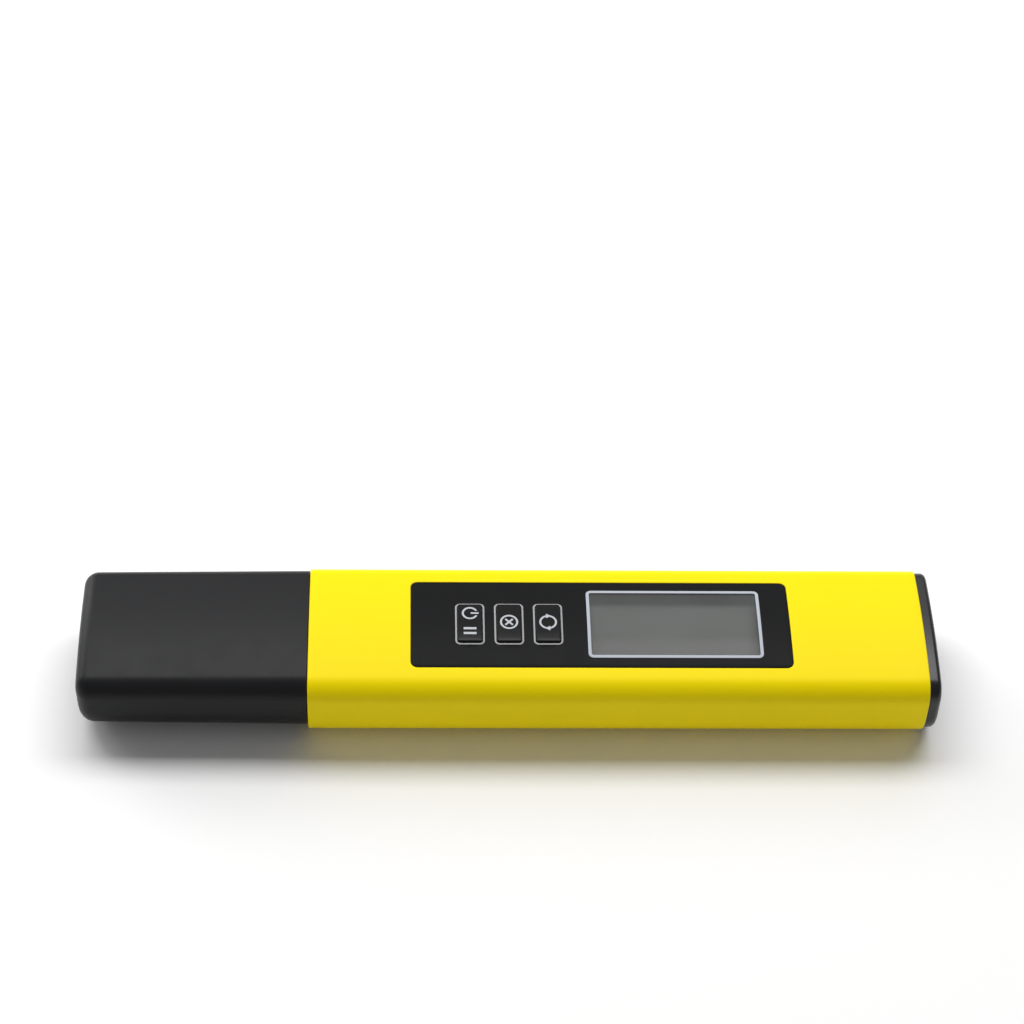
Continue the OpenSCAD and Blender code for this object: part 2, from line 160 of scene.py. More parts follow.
@dataclass(frozen=True)
class RoundRect:
    """Rectangle with round corners in the XY plane.

    Attributes:
        x: Middle along the pen.
        y: Middle across the pen.
        length: Size along the pen.
        width: Size across the pen.
        radius: Corner radius.
    """

    x: float
    y: float
    length: float
    width: float
    radius: float
    corner_steps: int = 8
    side_step: float = 1.0

    def loop(self, inset: float = 0.0) -> list[Point2]:
        """Points round the rectangle, moved inwards.

        Args:
            inset: How far the outline moves inwards; below 0 it grows.

        Returns:
            Points (x, y), anticlockwise, the same count for every inset.
        """
        half_l, half_w = self.length / 2, self.width / 2
        radius = max(self.radius - inset, 0.02)
        corners = ((1, -1), (1, 1), (-1, 1), (-1, -1))
        points: list[Point2] = []
        for i, (sx, sy) in enumerate(corners):
            centre = (self.x + sx * (half_l - inset - radius),
                      self.y + sy * (half_w - inset - radius))
            start = (i - 1) * math.pi / 2
            points += arc(centre, radius, start, start + math.pi / 2, self.corner_steps)
            run = self.width if i % 2 == 0 else self.length
            following = corners[(i + 1) % 4]
            goal = (self.x + following[0] * (half_l - inset - radius),
                    self.y + following[1] * (half_w - inset - radius))
            goal = (goal[0] + radius * math.cos(start + math.pi / 2),
                    goal[1] + radius * math.sin(start + math.pi / 2))
            here = points[-1]
            steps = max(int((run - 2 * self.radius) / self.side_step), 1)
            points += [
                (here[0] + (goal[0] - here[0]) * k / steps,
                 here[1] + (goal[1] - here[1]) * k / steps)
                for k in range(1, steps)
            ]
        return points

    def holds(self, point: Point2, margin: float = 0.0) -> bool:
        """Whether a point lies inside, at least margin from the edge."""
        dx = abs(point[0] - self.x) - (self.length / 2 - self.radius)
        dy = abs(point[1] - self.y) - (self.width / 2 - self.radius)
        outside = math.hypot(max(dx, 0.0), max(dy, 0.0))
        return outside + min(max(dx, dy), 0.0) - self.radius <= -margin

    @classmethod
    def round_node(cls, node: str, radius: float, grow: float = 0.0) -> "RoundRect":
        """Rectangle that a CAD node covers in top view.

        Args:
            node: Name of the CAD node.
            radius: Corner radius.
            grow: How far the rectangle grows on each side.

        Returns:
            The rectangle.
        """
        low, high = box_mm(node)
        return cls((low.x + high.x) / 2, (low.y + high.y) / 2,
                   high.x - low.x + 2 * grow, high.y - low.y + 2 * grow, radius + grow)


# ------------------------------------------------------------ mesh makers


def make_object(name: str, points: Sequence[Point3], faces: Sequence[Sequence[int]],
                sharp: float = 35.0) -> bpy.types.Object:
    """Makes a smooth-shaded mesh object from millimetre points.

    Args:
        name: Name of the object and its mesh.
        points: Corner points in millimetres.
        faces: Corner indices of each face.
        sharp: Edges steeper than this many degrees stay sharp.

    Returns:
        The new object, linked to the scene.
    """
    mesh = bpy.data.meshes.new(name)
    mesh.from_pydata([(x * MM, y * MM, z * MM) for x, y, z in points], [], faces)
    mesh.validate()
    obj = bpy.data.objects.new(name, mesh)
    bpy.context.scene.collection.objects.link(obj)
    tidy_mesh(obj, sharp)
    return obj


def tidy_mesh(obj: bpy.types.Object, sharp: float = 35.0) -> None:
    """Turns normals outwards and shades smooth, with sharp edges by angle.

    Args:
        obj: Mesh object to tidy.
        sharp: Edges steeper than this many degrees stay sharp.
    """
    work = bmesh.new()
    work.from_mesh(obj.data)
    bmesh.ops.remove_doubles(work, verts=work.verts, dist=1e-7)
    bmesh.ops.recalc_face_normals(work, faces=work.faces)
    work.to_mesh(obj.data)
    work.free()
    obj.data.shade_smooth()
    obj.data.set_sharp_from_angle(angle=math.radians(sharp))


def stand(x: float, loop: Sequence[Point2]) -> list[Point3]:
    """Stands a section loop across the pen at a place along it."""
    return [(x, y, z) for y, z in loop]


def loft(name: str, rings: Sequence[Sequence[Point3]], close: bool,
         cap_ends: bool = False, sharp: float = 35.0) -> bpy.types.Object:
    """Skins a row of rings with the same number of points.

    Args:
        name: Name of the object.
        rings: The rings, from one end to the other.
        close: Whether the last ring joins the first.
        cap_ends: Whether flat faces close the first and last ring.
        sharp: Edges steeper than this many degrees stay sharp.

    Returns:
        The new object.
    """
    count = len(rings[0])
    points = [point for ring in rings for point in ring]
    faces: list[list[int]] = []
    for r in range(len(rings) if close else len(rings) - 1):
        a, b = r * count, ((r + 1) % len(rings)) * count
        for i in range(count):
            j = (i + 1) % count
            faces.append([a + i, a + j, b + j, b + i])
    if cap_ends:
        faces.append(list(range(count)))
        faces.append([(len(rings) - 1) * count + i for i in range(count)])
    return make_object(name, points, faces, sharp)


def round_over(radius: float, steps: int = 6) -> list[Point2]:
    """Quarter-round edge as pairs of distance in and inset.

    Args:
        radius: Radius of the edge.
        steps: Number of steps round the quarter.

    Returns:
        Pairs (distance from the end, inset), from the end face inwards.
    """
    turns = [math.pi / 2 * i / steps for i in range(steps + 1)]
    return [(radius * (1 - math.sin(t)), radius * (1 - math.cos(t))) for t in reversed(turns)]


@dataclass(frozen=True)
class FacePlate:
    """Solid that follows the crowned front face inside a rounded outline.

    Attributes:
        outline: Outer edge in top view.
        edge: Steps from the top face down the outer side, as pairs of inset
            and height above the front face.
        bottom: Height of the underside above the front face.
        holes: Openings through the plate.
        hole_edge: Steps down the side of each opening, in the same form.
        grid: Spacing of the points inside the top face.
    """

    outline: RoundRect
    edge: tuple[Point2, ...]
    bottom: float
    holes: tuple[RoundRect, ...] = ()
    hole_edge: tuple[Point2, ...] = ()
    grid: float = 1.0

    def build(self, name: str, face_z: Callable[[float], float],
              sharp: float = 35.0) -> bpy.types.Object:
        """Makes the solid.

        Args:
            name: Name of the object.
            face_z: Height of the front face at a sideways place.
            sharp: Edges steeper than this many degrees stay sharp.

        Returns:
            The new object.
        """
        points: list[Point3] = []
        faces: list[list[int]] = []
        rings = [(self.outline, self.edge, 1.0)]
        rings += [(hole, self.hole_edge, -1.0) for hole in self.holes]
        tops: list[list[int]] = []
        bottoms: list[list[int]] = []
        for shape, edge, way in rings:
            steps = [*edge, (edge[-1][0], self.bottom)]
            loops = []
            for inset, height in steps:
                start = len(points)
                flat = shape.loop(way * inset)
                points += [(x, y, face_z(y) + height) for x, y in flat]
                loops.append(list(range(start, len(points))))
            tops.append(loops[0])
            bottoms.append(loops[-1])
            for upper, lower in zip(loops, loops[1:]):
                for i in range(len(upper)):
                    j = (i + 1) % len(upper)
                    faces.append([upper[i], upper[j], lower[j], lower[i]])
        self._cover(points, faces, tops, face_z, self.edge[0][1], self.edge[0][0])
        self._cover(points, faces, bottoms, face_z, self.bottom, self.edge[-1][0])
        return make_object(name, points, faces, sharp)

    def _cover(self, points: list[Point3], faces: list[list[int]],
               loops: Sequence[Sequence[int]], face_z: Callable[[float], float],
               height: float, inset: float) -> None:
        """Closes the space between an outer loop and its hole loops.

        Args:
            points: Points of the mesh; inner points are added.
            faces: Faces of the mesh; the cover's triangles are added.
            loops: Point indices of the outer loop and of each hole's loop.
            face_z: Height of the front face at a sideways place.
            height: Height of the cover above the front face.
            inset: Inset of the outer loop.
        """
        order = [i for loop in loops for i in loop]
        flat = [Vector(points[i][:2]) for i in order]
        rims: list[tuple[int, int]] = []
        start = 0
        for loop in loops:
            rims += [(start + i, start + (i + 1) % len(loop)) for i in range(len(loop))]
            start += len(loop)
        rect, step = self.outline, self.grid
        clear = inset + 0.45 * step
        columns = int(rect.length / step) + 1
        rows = int(rect.width / step) + 1
        for i in range(1, columns):
            for j in range(1, rows):
                spot = (rect.x - rect.length / 2 + rect.length * i / columns,
                        rect.y - rect.width / 2 + rect.width * j / rows)
                if not rect.holds(spot, clear):
                    continue
                if any(hole.holds(spot, -0.45 * step) for hole in self.holes):
                    continue
                flat.append(Vector(spot))
        result = delaunay_2d_cdt(flat, rims, [], 1, 1e-6)
        index: list[int] = []
        for spot, origins in zip(result[0], result[3]):
            known = [o for o in origins if o < len(order)]
            if known:
                index.append(order[known[0]])
                continue
            points.append((spot.x, spot.y, face_z(spot.y) + height))
            index.append(len(points) - 1)
        for triangle in result[2]:
            middle = sum((result[0][i] for i in triangle), Vector((0, 0))) / 3
            if not any(hole.holds((middle.x, middle.y), 1e-4) for hole in self.holes):
                faces.append([index[i] for i in triangle])


def cut_away(body: bpy.types.Object, cutters: Iterable[bpy.types.Object],
             sharp: float = 35.0) -> None:
    """Cuts solids out of a body and removes them.

    Args:
        body: Object that is cut.
        cutters: Solids to subtract.
        sharp: Edges steeper than this many degrees stay sharp.
    """
    for cutter in cutters:
        step = body.modifiers.new("cut", "BOOLEAN")
        step.operation = "DIFFERENCE"
        step.solver = "EXACT"
        step.object = cutter
        graph = bpy.context.evaluated_depsgraph_get()
        cut_mesh = bpy.data.meshes.new_from_object(body.evaluated_get(graph))
        body.modifiers.clear()
        body.data = cut_mesh
        bpy.data.objects.remove(cutter)
    body.data.name = body.name
    tidy_mesh(body, sharp)


def upright_pin(name: str, centre: Point2, low: float, high: float,
                radius: float, foot: float = 0.15) -> bpy.types.Object:
    """Makes an upright round pin with a softened foot.

    Args:
        name: Name of the object.
        centre: Place in top view.
        low: Height of the foot.
        high: Height of the top.
        radius: Radius of the pin.
        foot: Size of the chamfer at the foot.

    Returns:
        The new object.
    """
    profile = [(0.0, low), (radius - foot, low), (radius, low + foot), (radius, high), (0.0, high)]
    return turned(name, profile, Matrix.Translation((centre[0], centre[1], 0.0)))


def turned(name: str, profile: Sequence[Point2], place: Matrix, steps: int = 48,
           sharp: float = 35.0) -> bpy.types.Object:
    """Turns a profile round an axis.

    Args:
        name: Name of the object.
        profile: Pairs of radius and place along the axis.
        place: Moves the turned solid's Z axis to where it belongs.
        steps: Number of steps round the axis.
        sharp: Edges steeper than this many degrees stay sharp.

    Returns:
        The new object.
    """
    points: list[Point3] = []
    for i in range(steps):
        turn = 2 * math.pi * i / steps
        for radius, along in profile:
            spot = Vector((radius * math.cos(turn), radius * math.sin(turn), along))
            points.append(tuple(place @ spot))
    count = len(profile)
    faces: list[list[int]] = []
    for i in range(steps):
        a, b = i * count, ((i + 1) % steps) * count
        for k in range(count - 1):
            faces.append([a + k, a + k + 1, b + k + 1, b + k])
    obj = make_object(name, points, faces, sharp)
    work = bmesh.new()
    work.from_mesh(obj.data)
    bmesh.ops.dissolve_degenerate(work, edges=work.edges, dist=1e-7)
    work.to_mesh(obj.data)
    work.free()
    return obj


def join(base: bpy.types.Object, others: Iterable[bpy.types.Object]) -> None:
    """Moves other objects' meshes into a base object.

    Args:
        base: Object that keeps its name.
        others: Objects whose meshes move into it.
    """
    work = bmesh.new()
    work.from_mesh(base.data)
    for other in others:
        work.from_mesh(other.data)
        bpy.data.objects.remove(other)
    work.to_mesh(base.data)
    work.free()


# ---------------------------------------------------------- shader effects


class Wires:
    """Short way to add and join the nodes of one node tree."""

    def __init__(self, tree: bpy.types.NodeTree) -> None:
        """Starts on a tree.

        Args:
            tree: Node tree to work on.
        """
        self.tree = tree

    def add(self, kind: str, settings: dict[str, object] | None = None,
            **inputs: object) -> bpy.types.Node:
        """Adds a node and fills in or links its inputs.

        Args:
            kind: Blender's type name of the node.
            settings: Attributes of the node, such as its operation.
            inputs: Input names, with underscores for spaces, or i0, i1 for
                numbered ones, each with a value or an output socket.

        Returns:
            The new node.
        """
        node = self.tree.nodes.new(kind)
        for key, value in (settings or {}).items():
            setattr(node, key, value)
        for key, value in inputs.items():
            numbered = key[0] == "i" and key[1:].isdigit()
            socket = node.inputs[int(key[1:]) if numbered else key.replace("_", " ")]
            if isinstance(value, bpy.types.NodeSocket):
                self.tree.links.new(value, socket)
            else:
                socket.default_value = value
        return node

    def math(self, operation: str, first: object, second: object = 0.0) -> bpy.types.NodeSocket:
        """Adds a Math node and returns its output."""
        return self.add("ShaderNodeMath", {"operation": operation}, i0=first, i1=second).outputs[0]

    def ramp(self, value: object, low: float, high: float, from_value: float,
             to_value: float) -> bpy.types.NodeSocket:
        """Maps a value range to another, clamped.

        Args:
            value: Incoming value or socket.
            low: Value that gives from_value.
            high: Value that gives to_value.
            from_value: Result at low.
            to_value: Result at high.

        Returns:
            The mapped value's socket.
        """
        node = self.add("ShaderNodeMapRange", {"clamp": True}, i0=value, i1=low, i2=high,
                        i3=from_value, i4=to_value)
        return node.outputs[0]

    def millimetres(self, size: object) -> bpy.types.NodeSocket:
        """Object coordinates counted in cells of a size in millimetres."""
        place = self.add("ShaderNodeTexCoord").outputs["Object"]
        cells = self.math("DIVIDE", 1.0 / MM, size)
        return self.add("ShaderNodeVectorMath", {"operation": "SCALE"},
                        i0=place, Scale=cells).outputs[0]

    def noise(self, vector: object, detail: float = 2.0, rough: float = 0.5,
              twist: float = 0.0) -> bpy.types.NodeSocket:
        """Adds a unit-scale noise texture and returns its value."""
        return self.add("ShaderNodeTexNoise", Vector=vector, Scale=1.0, Detail=detail,
                        Roughness=rough, Distortion=twist).outputs[0]


class Effect(Enum):
    """Surface effects that several finishes share, as shader node groups."""

    GRAIN = "moulded_grain"
    DRIFT = "tonal_drift"
    SCUFFS = "fine_scuffs"
    DUST = "settled_dust"
    BRUSHED = "brushed_lines"

    def group(self) -> bpy.types.NodeTree:
        """The effect's node group, built on first use."""
        found = bpy.data.node_groups.get(self.value)
        return found or EFFECT_BUILDERS[self](self.value)


def new_group(name: str, inputs: dict[str, tuple[str, object]],
              outputs: dict[str, str]) -> tuple[Wires, bpy.types.Node, bpy.types.Node]:
    """Starts a shader node group with its sockets.

    Args:
        name: Name of the group.
        inputs: Socket name to its type and default value.
        outputs: Socket name to its type.

    Returns:
        The wiring helper, the input node and the output node.
    """
    tree = bpy.data.node_groups.new(name, "ShaderNodeTree")
    for label, (kind, value) in inputs.items():
        socket = tree.interface.new_socket(label, in_out="INPUT", socket_type=kind)
        socket.default_value = value
    for label, kind in outputs.items():
        tree.interface.new_socket(label, in_out="OUTPUT", socket_type=kind)
    wires = Wires(tree)
    return wires, wires.add("NodeGroupInput"), wires.add("NodeGroupOutput")


def build_grain(name: str) -> bpy.types.NodeTree:
    """Builds the fine pitted grain of a textured mould.

    Args:
        name: Name of the group.

    Returns:
        The group, with Size in millimetres in, Height and Mottle out.
    """
    wires, start, end = new_group(name, {"Size": ("NodeSocketFloat", 0.25)},
                                  {"Height": "NodeSocketFloat", "Mottle": "NodeSocketFloat"})
    cells = wires.millimetres(start.outputs["Size"])
    fine = wires.noise(cells, 3.0, 0.6)
    pits = wires.add("ShaderNodeTexVoronoi", {"feature": "SMOOTH_F1"}, Vector=cells, Scale=0.8,
                     Smoothness=0.6).outputs["Distance"]
    height = wires.math("ADD", wires.math("MULTIPLY", fine, 0.6), wires.math("MULTIPLY", pits, 0.5))
    broad = wires.noise(wires.add("ShaderNodeVectorMath", {"operation": "SCALE"}, i0=cells,
                                  Scale=0.06).outputs[0], 4.0, 0.6)
    wires.tree.links.new(height, end.inputs["Height"])
    wires.tree.links.new(broad, end.inputs["Mottle"])
    return wires.tree


def build_drift(name: str) -> bpy.types.NodeTree:
    """Builds the slow drift in tone of a dyed part.

    Args:
        name: Name of the group.

    Returns:
        The group, with Color, Amount and Size in, Color out.
    """
    wires, start, end = new_group(
        name, {"Color": ("NodeSocketColor", (0.5, 0.5, 0.5, 1.0)),
               "Amount": ("NodeSocketFloat", 0.05), "Size": ("NodeSocketFloat", 18.0)},
        {"Color": "NodeSocketColor"})
    cloud = wires.noise(wires.millimetres(start.outputs["Size"]), 3.0, 0.55)
    swing = wires.math("MULTIPLY", wires.math("SUBTRACT", cloud, 0.5), start.outputs["Amount"])
    tone = wires.add("ShaderNodeHueSaturation", Value=wires.math("ADD", swing, 1.0),
                     Color=start.outputs["Color"])
    wires.tree.links.new(tone.outputs[0], end.inputs["Color"])
    return wires.tree


def build_scuffs(name: str) -> bpy.types.NodeTree:
    """Builds faint short handling marks in loose patches.

    Args:
        name: Name of the group.

    Returns:
        The group, with Size in millimetres in, Mask out.
    """
    wires, start, end = new_group(name, {"Size": ("NodeSocketFloat", 4.0)},
                                  {"Mask": "NodeSocketFloat"})
    cells = wires.millimetres(start.outputs["Size"])
    masks = []
    for turn, stretch in ((0.5, (0.5, 9.0, 1.0)), (-0.9, (7.0, 0.6, 1.0))):
        lay = wires.add("ShaderNodeMapping", Vector=cells, Rotation=(0.3, turn / 3, turn),
                        Scale=stretch).outputs[0]
        masks.append(wires.ramp(wires.noise(lay, 2.0, 0.5, 0.4), 0.66, 0.73, 0.0, 1.0))
    patch = wires.ramp(wires.noise(cells, 2.0, 0.5), 0.48, 0.66, 0.0, 1.0)
    marks = wires.math("MULTIPLY", wires.math("MAXIMUM", masks[0], masks[1]), patch)
    wires.tree.links.new(marks, end.inputs["Mask"])
    return wires.tree


def build_dust(name: str) -> bpy.types.NodeTree:
    """Builds sparse specks of dust that lie on upward faces.

    Args:
        name: Name of the group.

    Returns:
        The group, with Size in millimetres in, Mask out.
    """
    wires, start, end = new_group(name, {"Size": ("NodeSocketFloat", 1.6)},
                                  {"Mask": "NodeSocketFloat"})
    cells = wires.millimetres(start.outputs["Size"])
    specks = wires.add("ShaderNodeTexVoronoi", {"feature": "F1"}, Vector=cells, Scale=1.0)
    dots = wires.ramp(specks.outputs["Distance"], 0.03, 0.07, 1.0, 0.0)
    few = wires.ramp(wires.add("ShaderNodeSeparateColor", i0=specks.outputs["Color"]).outputs[0],
                     0.80, 0.82, 0.0, 1.0)
    up = wires.add("ShaderNodeSeparateXYZ", i0=wires.add("ShaderNodeNewGeometry").outputs["Normal"])
    lying = wires.ramp(up.outputs["Z"], 0.5, 0.9, 0.0, 1.0)
    mask = wires.math("MULTIPLY", wires.math("MULTIPLY", dots, few), lying)
    wires.tree.links.new(mask, end.inputs["Mask"])
    return wires.tree


def build_brushed(name: str) -> bpy.types.NodeTree:
    """Builds fine drawn lines along the pen on metal.

    Args:
        name: Name of the group.

    Returns:
        The group, with Size in millimetres in, Height and Streak out.
    """
    wires, start, end = new_group(name, {"Size": ("NodeSocketFloat", 0.12)},
                                  {"Height": "NodeSocketFloat", "Streak": "NodeSocketFloat"})
    cells = wires.millimetres(start.outputs["Size"])
    lay = wires.add("ShaderNodeMapping", Vector=cells, Scale=(0.03, 1.0, 1.0)).outputs[0]
    lines = wires.noise(lay, 4.0, 0.65)
    blotch = wires.noise(wires.add("ShaderNodeVectorMath", {"operation": "SCALE"}, i0=cells,
                                   Scale=0.05).outputs[0], 3.0, 0.5)
    wires.tree.links.new(lines, end.inputs["Height"])
    wires.tree.links.new(wires.math("MULTIPLY", lines, blotch), end.inputs["Streak"])
    return wires.tree


EFFECT_BUILDERS: dict[Effect, Callable[[str], bpy.types.NodeTree]] = {
    Effect.GRAIN: build_grain,
    Effect.DRIFT: build_drift,
    Effect.SCUFFS: build_scuffs,
    Effect.DUST: build_dust,
    Effect.BRUSHED: build_brushed,
}


# --------------------------------------------------------------- finishes


@dataclass(frozen=True)
class Finish:
    """A named surface finish; its material is built once.

    Attributes:
        name: Name of the material.
    """

    name: str

    def material(self) -> bpy.types.Material:
        """The finish's material.

        Returns:
            The material, built on first use.
        """
        found = bpy.data.materials.get(self.name)
        if found:
            return found
        made = bpy.data.materials.new(self.name)
        made.use_nodes = True
        made.node_tree.nodes.clear()
        wires = Wires(made.node_tree)
        shader = wires.add("ShaderNodeBsdfPrincipled")
        wires.add("ShaderNodeOutputMaterial", Surface=shader.outputs[0])
        self.fill(wires, shader)
        return made

    def fill(self, wires: Wires, shader: bpy.types.Node) -> None:
        """Sets the shader up; each kind of finish does this its own way."""
        raise NotImplementedError

    def effect(self, wires: Wires, effect: Effect, **inputs: object) -> bpy.types.Node:
        """Places a shared effect in the material.

        Args:
            wires: Wiring helper of the material.
            effect: Which effect.
            inputs: Values or sockets for the effect's inputs.

        Returns:
            The group node.
        """
        return wires.add("ShaderNodeGroup", {"node_tree": effect.group()}, **inputs)

    def bump(self, wires: Wires, shader: bpy.types.Node, height: object, depth: float) -> None:
        """Feeds a height into the shader's normal.

        Args:
            wires: Wiring helper of the material.
            shader: The Principled shader.
            height: Socket with a height from 0 to 1.
            depth: Real depth of that height in millimetres.
        """
        node = wires.add("ShaderNodeBump", Height=height, Distance=depth * MM, Strength=1.0)
        wires.tree.links.new(node.outputs[0], shader.inputs["Normal"])


@dataclass(frozen=True)
class Moulded(Finish):
    """Moulded, painted or printed plastic with a fine grain.

    Attributes:
        colour: Linear base colour.
        rough: Roughness.
        grain: Size of a grain cell in millimetres.
        depth: Depth of the grain in millimetres.
        drift: Swing in tone across the part.
        scuff: Strength of the handling marks.
        dust: Strength of the dust specks.
        gloss: Specular level of the shader.
        coat: Weight of a clear coat.
    """

    colour: Colour = (0.5, 0.5, 0.5)
    rough: float = 0.5
    grain: float = 0.3
    depth: float = 0.004
    drift: float = 0.04
    scuff: float = 0.3
    dust: float = 0.0
    gloss: float = 0.3
    coat: float = 0.0
    dust_colour: Colour = (0.45, 0.44, 0.42)

    def fill(self, wires: Wires, shader: bpy.types.Node) -> None:
        """Sets colour, roughness and grain.

        Args:
            wires: Wiring helper of the material.
            shader: The Principled shader.
        """
        grain = self.effect(wires, Effect.GRAIN, Size=self.grain)
        colour = self.effect(wires, Effect.DRIFT, Color=(*self.colour, 1.0),
                             Amount=self.drift, Size=22.0).outputs["Color"]
        scuffs = self.effect(wires, Effect.SCUFFS, Size=5.0).outputs["Mask"]
        if self.dust > 0:
            specks = self.effect(wires, Effect.DUST, Size=1.7).outputs["Mask"]
            colour = wires.add(
                "ShaderNodeMix", {"data_type": "RGBA"},
                i0=wires.math("MULTIPLY", specks, self.dust), i6=colour,
                i7=(*self.dust_colour, 1.0)).outputs[2]
        wires.tree.links.new(colour, shader.inputs["Base Color"])
        worn = wires.ramp(grain.outputs["Mottle"], 0.3, 0.7, self.rough - 0.03, self.rough + 0.03)
        marked = wires.math("MULTIPLY", scuffs, -0.12 * self.scuff)
        wires.tree.links.new(wires.math("ADD", worn, marked), shader.inputs["Roughness"])
        shader.inputs["Specular IOR Level"].default_value = self.gloss
        if self.coat > 0:
            shader.inputs["Coat Weight"].default_value = self.coat
            shader.inputs["Coat Roughness"].default_value = 0.25
        scratch = wires.math("MULTIPLY", scuffs, -0.3 * self.scuff)
        self.bump(wires, shader, wires.math("ADD", grain.outputs["Height"], scratch), self.depth)


@dataclass(frozen=True)
class DrawnMetal(Finish):
    """Drawn, plated or stamped metal.

    Attributes:
        colour: Linear base colour.
        rough: Roughness.
        lines: Spacing of the drawn lines in millimetres.
        depth: Depth of the lines in millimetres.
    """

    colour: Colour = (0.6, 0.6, 0.6)
    rough: float = 0.28
    lines: float = 0.12
    depth: float = 0.002

    def fill(self, wires: Wires, shader: bpy.types.Node) -> None:
        """Sets the metal's colour, polish and lines.

        Args:
            wires: Wiring helper of the material.
            shader: The Principled shader.
        """
        drawn = self.effect(wires, Effect.BRUSHED, Size=self.lines)
        colour = self.effect(wires, Effect.DRIFT, Color=(*self.colour, 1.0), Amount=0.12,
                             Size=6.0).outputs["Color"]
        shader.inputs["Metallic"].default_value = 1.0
        wires.tree.links.new(colour, shader.inputs["Base Color"])
        polish = wires.ramp(drawn.outputs["Streak"], 0.1, 0.5, self.rough - 0.06, self.rough + 0.1)
        wires.tree.links.new(polish, shader.inputs["Roughness"])
        self.bump(wires, shader, drawn.outputs["Height"], self.depth)


@dataclass(frozen=True)
class BlownGlass(Finish):
    """Thin glass with a faint wave.

    Attributes:
        colour: Tint.
        rough: Roughness.
    """

    colour: Colour = (0.95, 0.98, 0.97)
    rough: float = 0.03

    def fill(self, wires: Wires, shader: bpy.types.Node) -> None:
        """Sets the glass up.

        Args:
            wires: Wiring helper of the material.
            shader: The Principled shader.
        """
        shader.inputs["Base Color"].default_value = (*self.colour, 1.0)
        shader.inputs["Transmission Weight"].default_value = 1.0
        shader.inputs["IOR"].default_value = 1.47
        smear = wires.ramp(wires.noise(wires.millimetres(3.0), 2.0), 0.3, 0.7,
                           self.rough, self.rough + 0.04)
        wires.tree.links.new(smear, shader.inputs["Roughness"])
        self.bump(wires, shader, wires.noise(wires.millimetres(2.2), 1.0), 0.01)


@dataclass(frozen=True)
class ClearFilm(Finish):
    """Clear part of the printed film, seen through.

    Attributes:
        haze_and_sheen: Haze the film shows face on; grazing, a painted sheen.
    """

    haze_and_sheen: float = 0.10
    colour: Colour = (0.30, 0.31, 0.31)

    def fill(self, wires: Wires, shader: bpy.types.Node) -> None:
        """Sets the film up.

        Args:
            wires: Wiring helper of the material.
            shader: The Principled shader.
        """
        shader.inputs["Base Color"].default_value = (*self.colour, 1.0)
        # Painted sheen: the film's grey base fades in towards grazing angles in place of its
        # reflection; face on it is faint haze.
        edge_on = wires.add("ShaderNodeLayerWeight", Blend=0.25).outputs["Facing"]
        smear = wires.noise(wires.millimetres(7.0), 3.0)
        haze_and_sheen = wires.math("MULTIPLY", wires.ramp(smear, 0.3, 0.7, 0.9, 1.1),
                          wires.ramp(edge_on, 0.1, 0.9, self.haze_and_sheen, 0.6))
        wires.tree.links.new(haze_and_sheen, shader.inputs["Alpha"])
        wires.tree.links.new(wires.ramp(smear, 0.3, 0.7, 0.10, 0.16), shader.inputs["Roughness"])


@dataclass(frozen=True)
class IdleDisplay(Finish):
    """Blank grey liquid-crystal glass with its fine reflector grain.

    Attributes:
        colour: Linear colour of the reflector.
    """

    colour: Colour = (0.080, 0.0828, 0.0764)

    def fill(self, wires: Wires, shader: bpy.types.Node) -> None:
        """Sets the display glass up.

        Args:
            wires: Wiring helper of the material.
            shader: The Principled shader.
        """
        speckle = wires.ramp(wires.noise(wires.millimetres(0.12), 2.0, 0.7), 0.3, 0.7, 0.94, 1.06)
        cloud = wires.ramp(wires.noise(wires.millimetres(9.0), 2.0), 0.3, 0.7, 0.98, 1.02)
        tone = wires.add("ShaderNodeHueSaturation", Value=wires.math("MULTIPLY", speckle, cloud),
                         Color=(*self.colour, 1.0))
        wires.tree.links.new(tone.outputs[0], shader.inputs["Base Color"])
        wires.tree.links.new(wires.ramp(speckle, 0.94, 1.06, 0.36, 0.44),
                             shader.inputs["Roughness"])
        shader.inputs["Specular IOR Level"].default_value = 0.25
        self.bump(wires, shader, wires.noise(wires.millimetres(0.2), 2.0), 0.001)


@dataclass(frozen=True)
class OpenFoam(Finish):
    """Open-cell foam.

    Attributes:
        colour: Linear colour.
        cell: Size of a pore in millimetres.
    """

    colour: Colour = (0.70, 0.60, 0.28)
    cell: float = 0.5

    def fill(self, wires: Wires, shader: bpy.types.Node) -> None:
        """Sets the foam up.

        Args:
            wires: Wiring helper of the material.
            shader: The Principled shader.
        """
        pores = wires.add("ShaderNodeTexVoronoi", {"feature": "DISTANCE_TO_EDGE"},
                          Vector=wires.millimetres(self.cell), Scale=1.0).outputs["Distance"]
        wall = wires.ramp(pores, 0.02, 0.30, 1.0, 0.0)
        # Painted shade: base colour falls to 0.55 inside each pore and lifts to 1.08 on the cell
        # walls.
        painted_pore_shade = wires.add("ShaderNodeHueSaturation", Color=(*self.colour, 1.0),
                          Value=wires.ramp(wall, 0.0, 1.0, 0.55, 1.08))
        wires.tree.links.new(painted_pore_shade.outputs[0], shader.inputs["Base Color"])
        wires.tree.links.new(wires.ramp(wall, 0.0, 1.0, 0.95, 0.8), shader.inputs["Roughness"])
        self.bump(wires, shader, wall, 0.2)


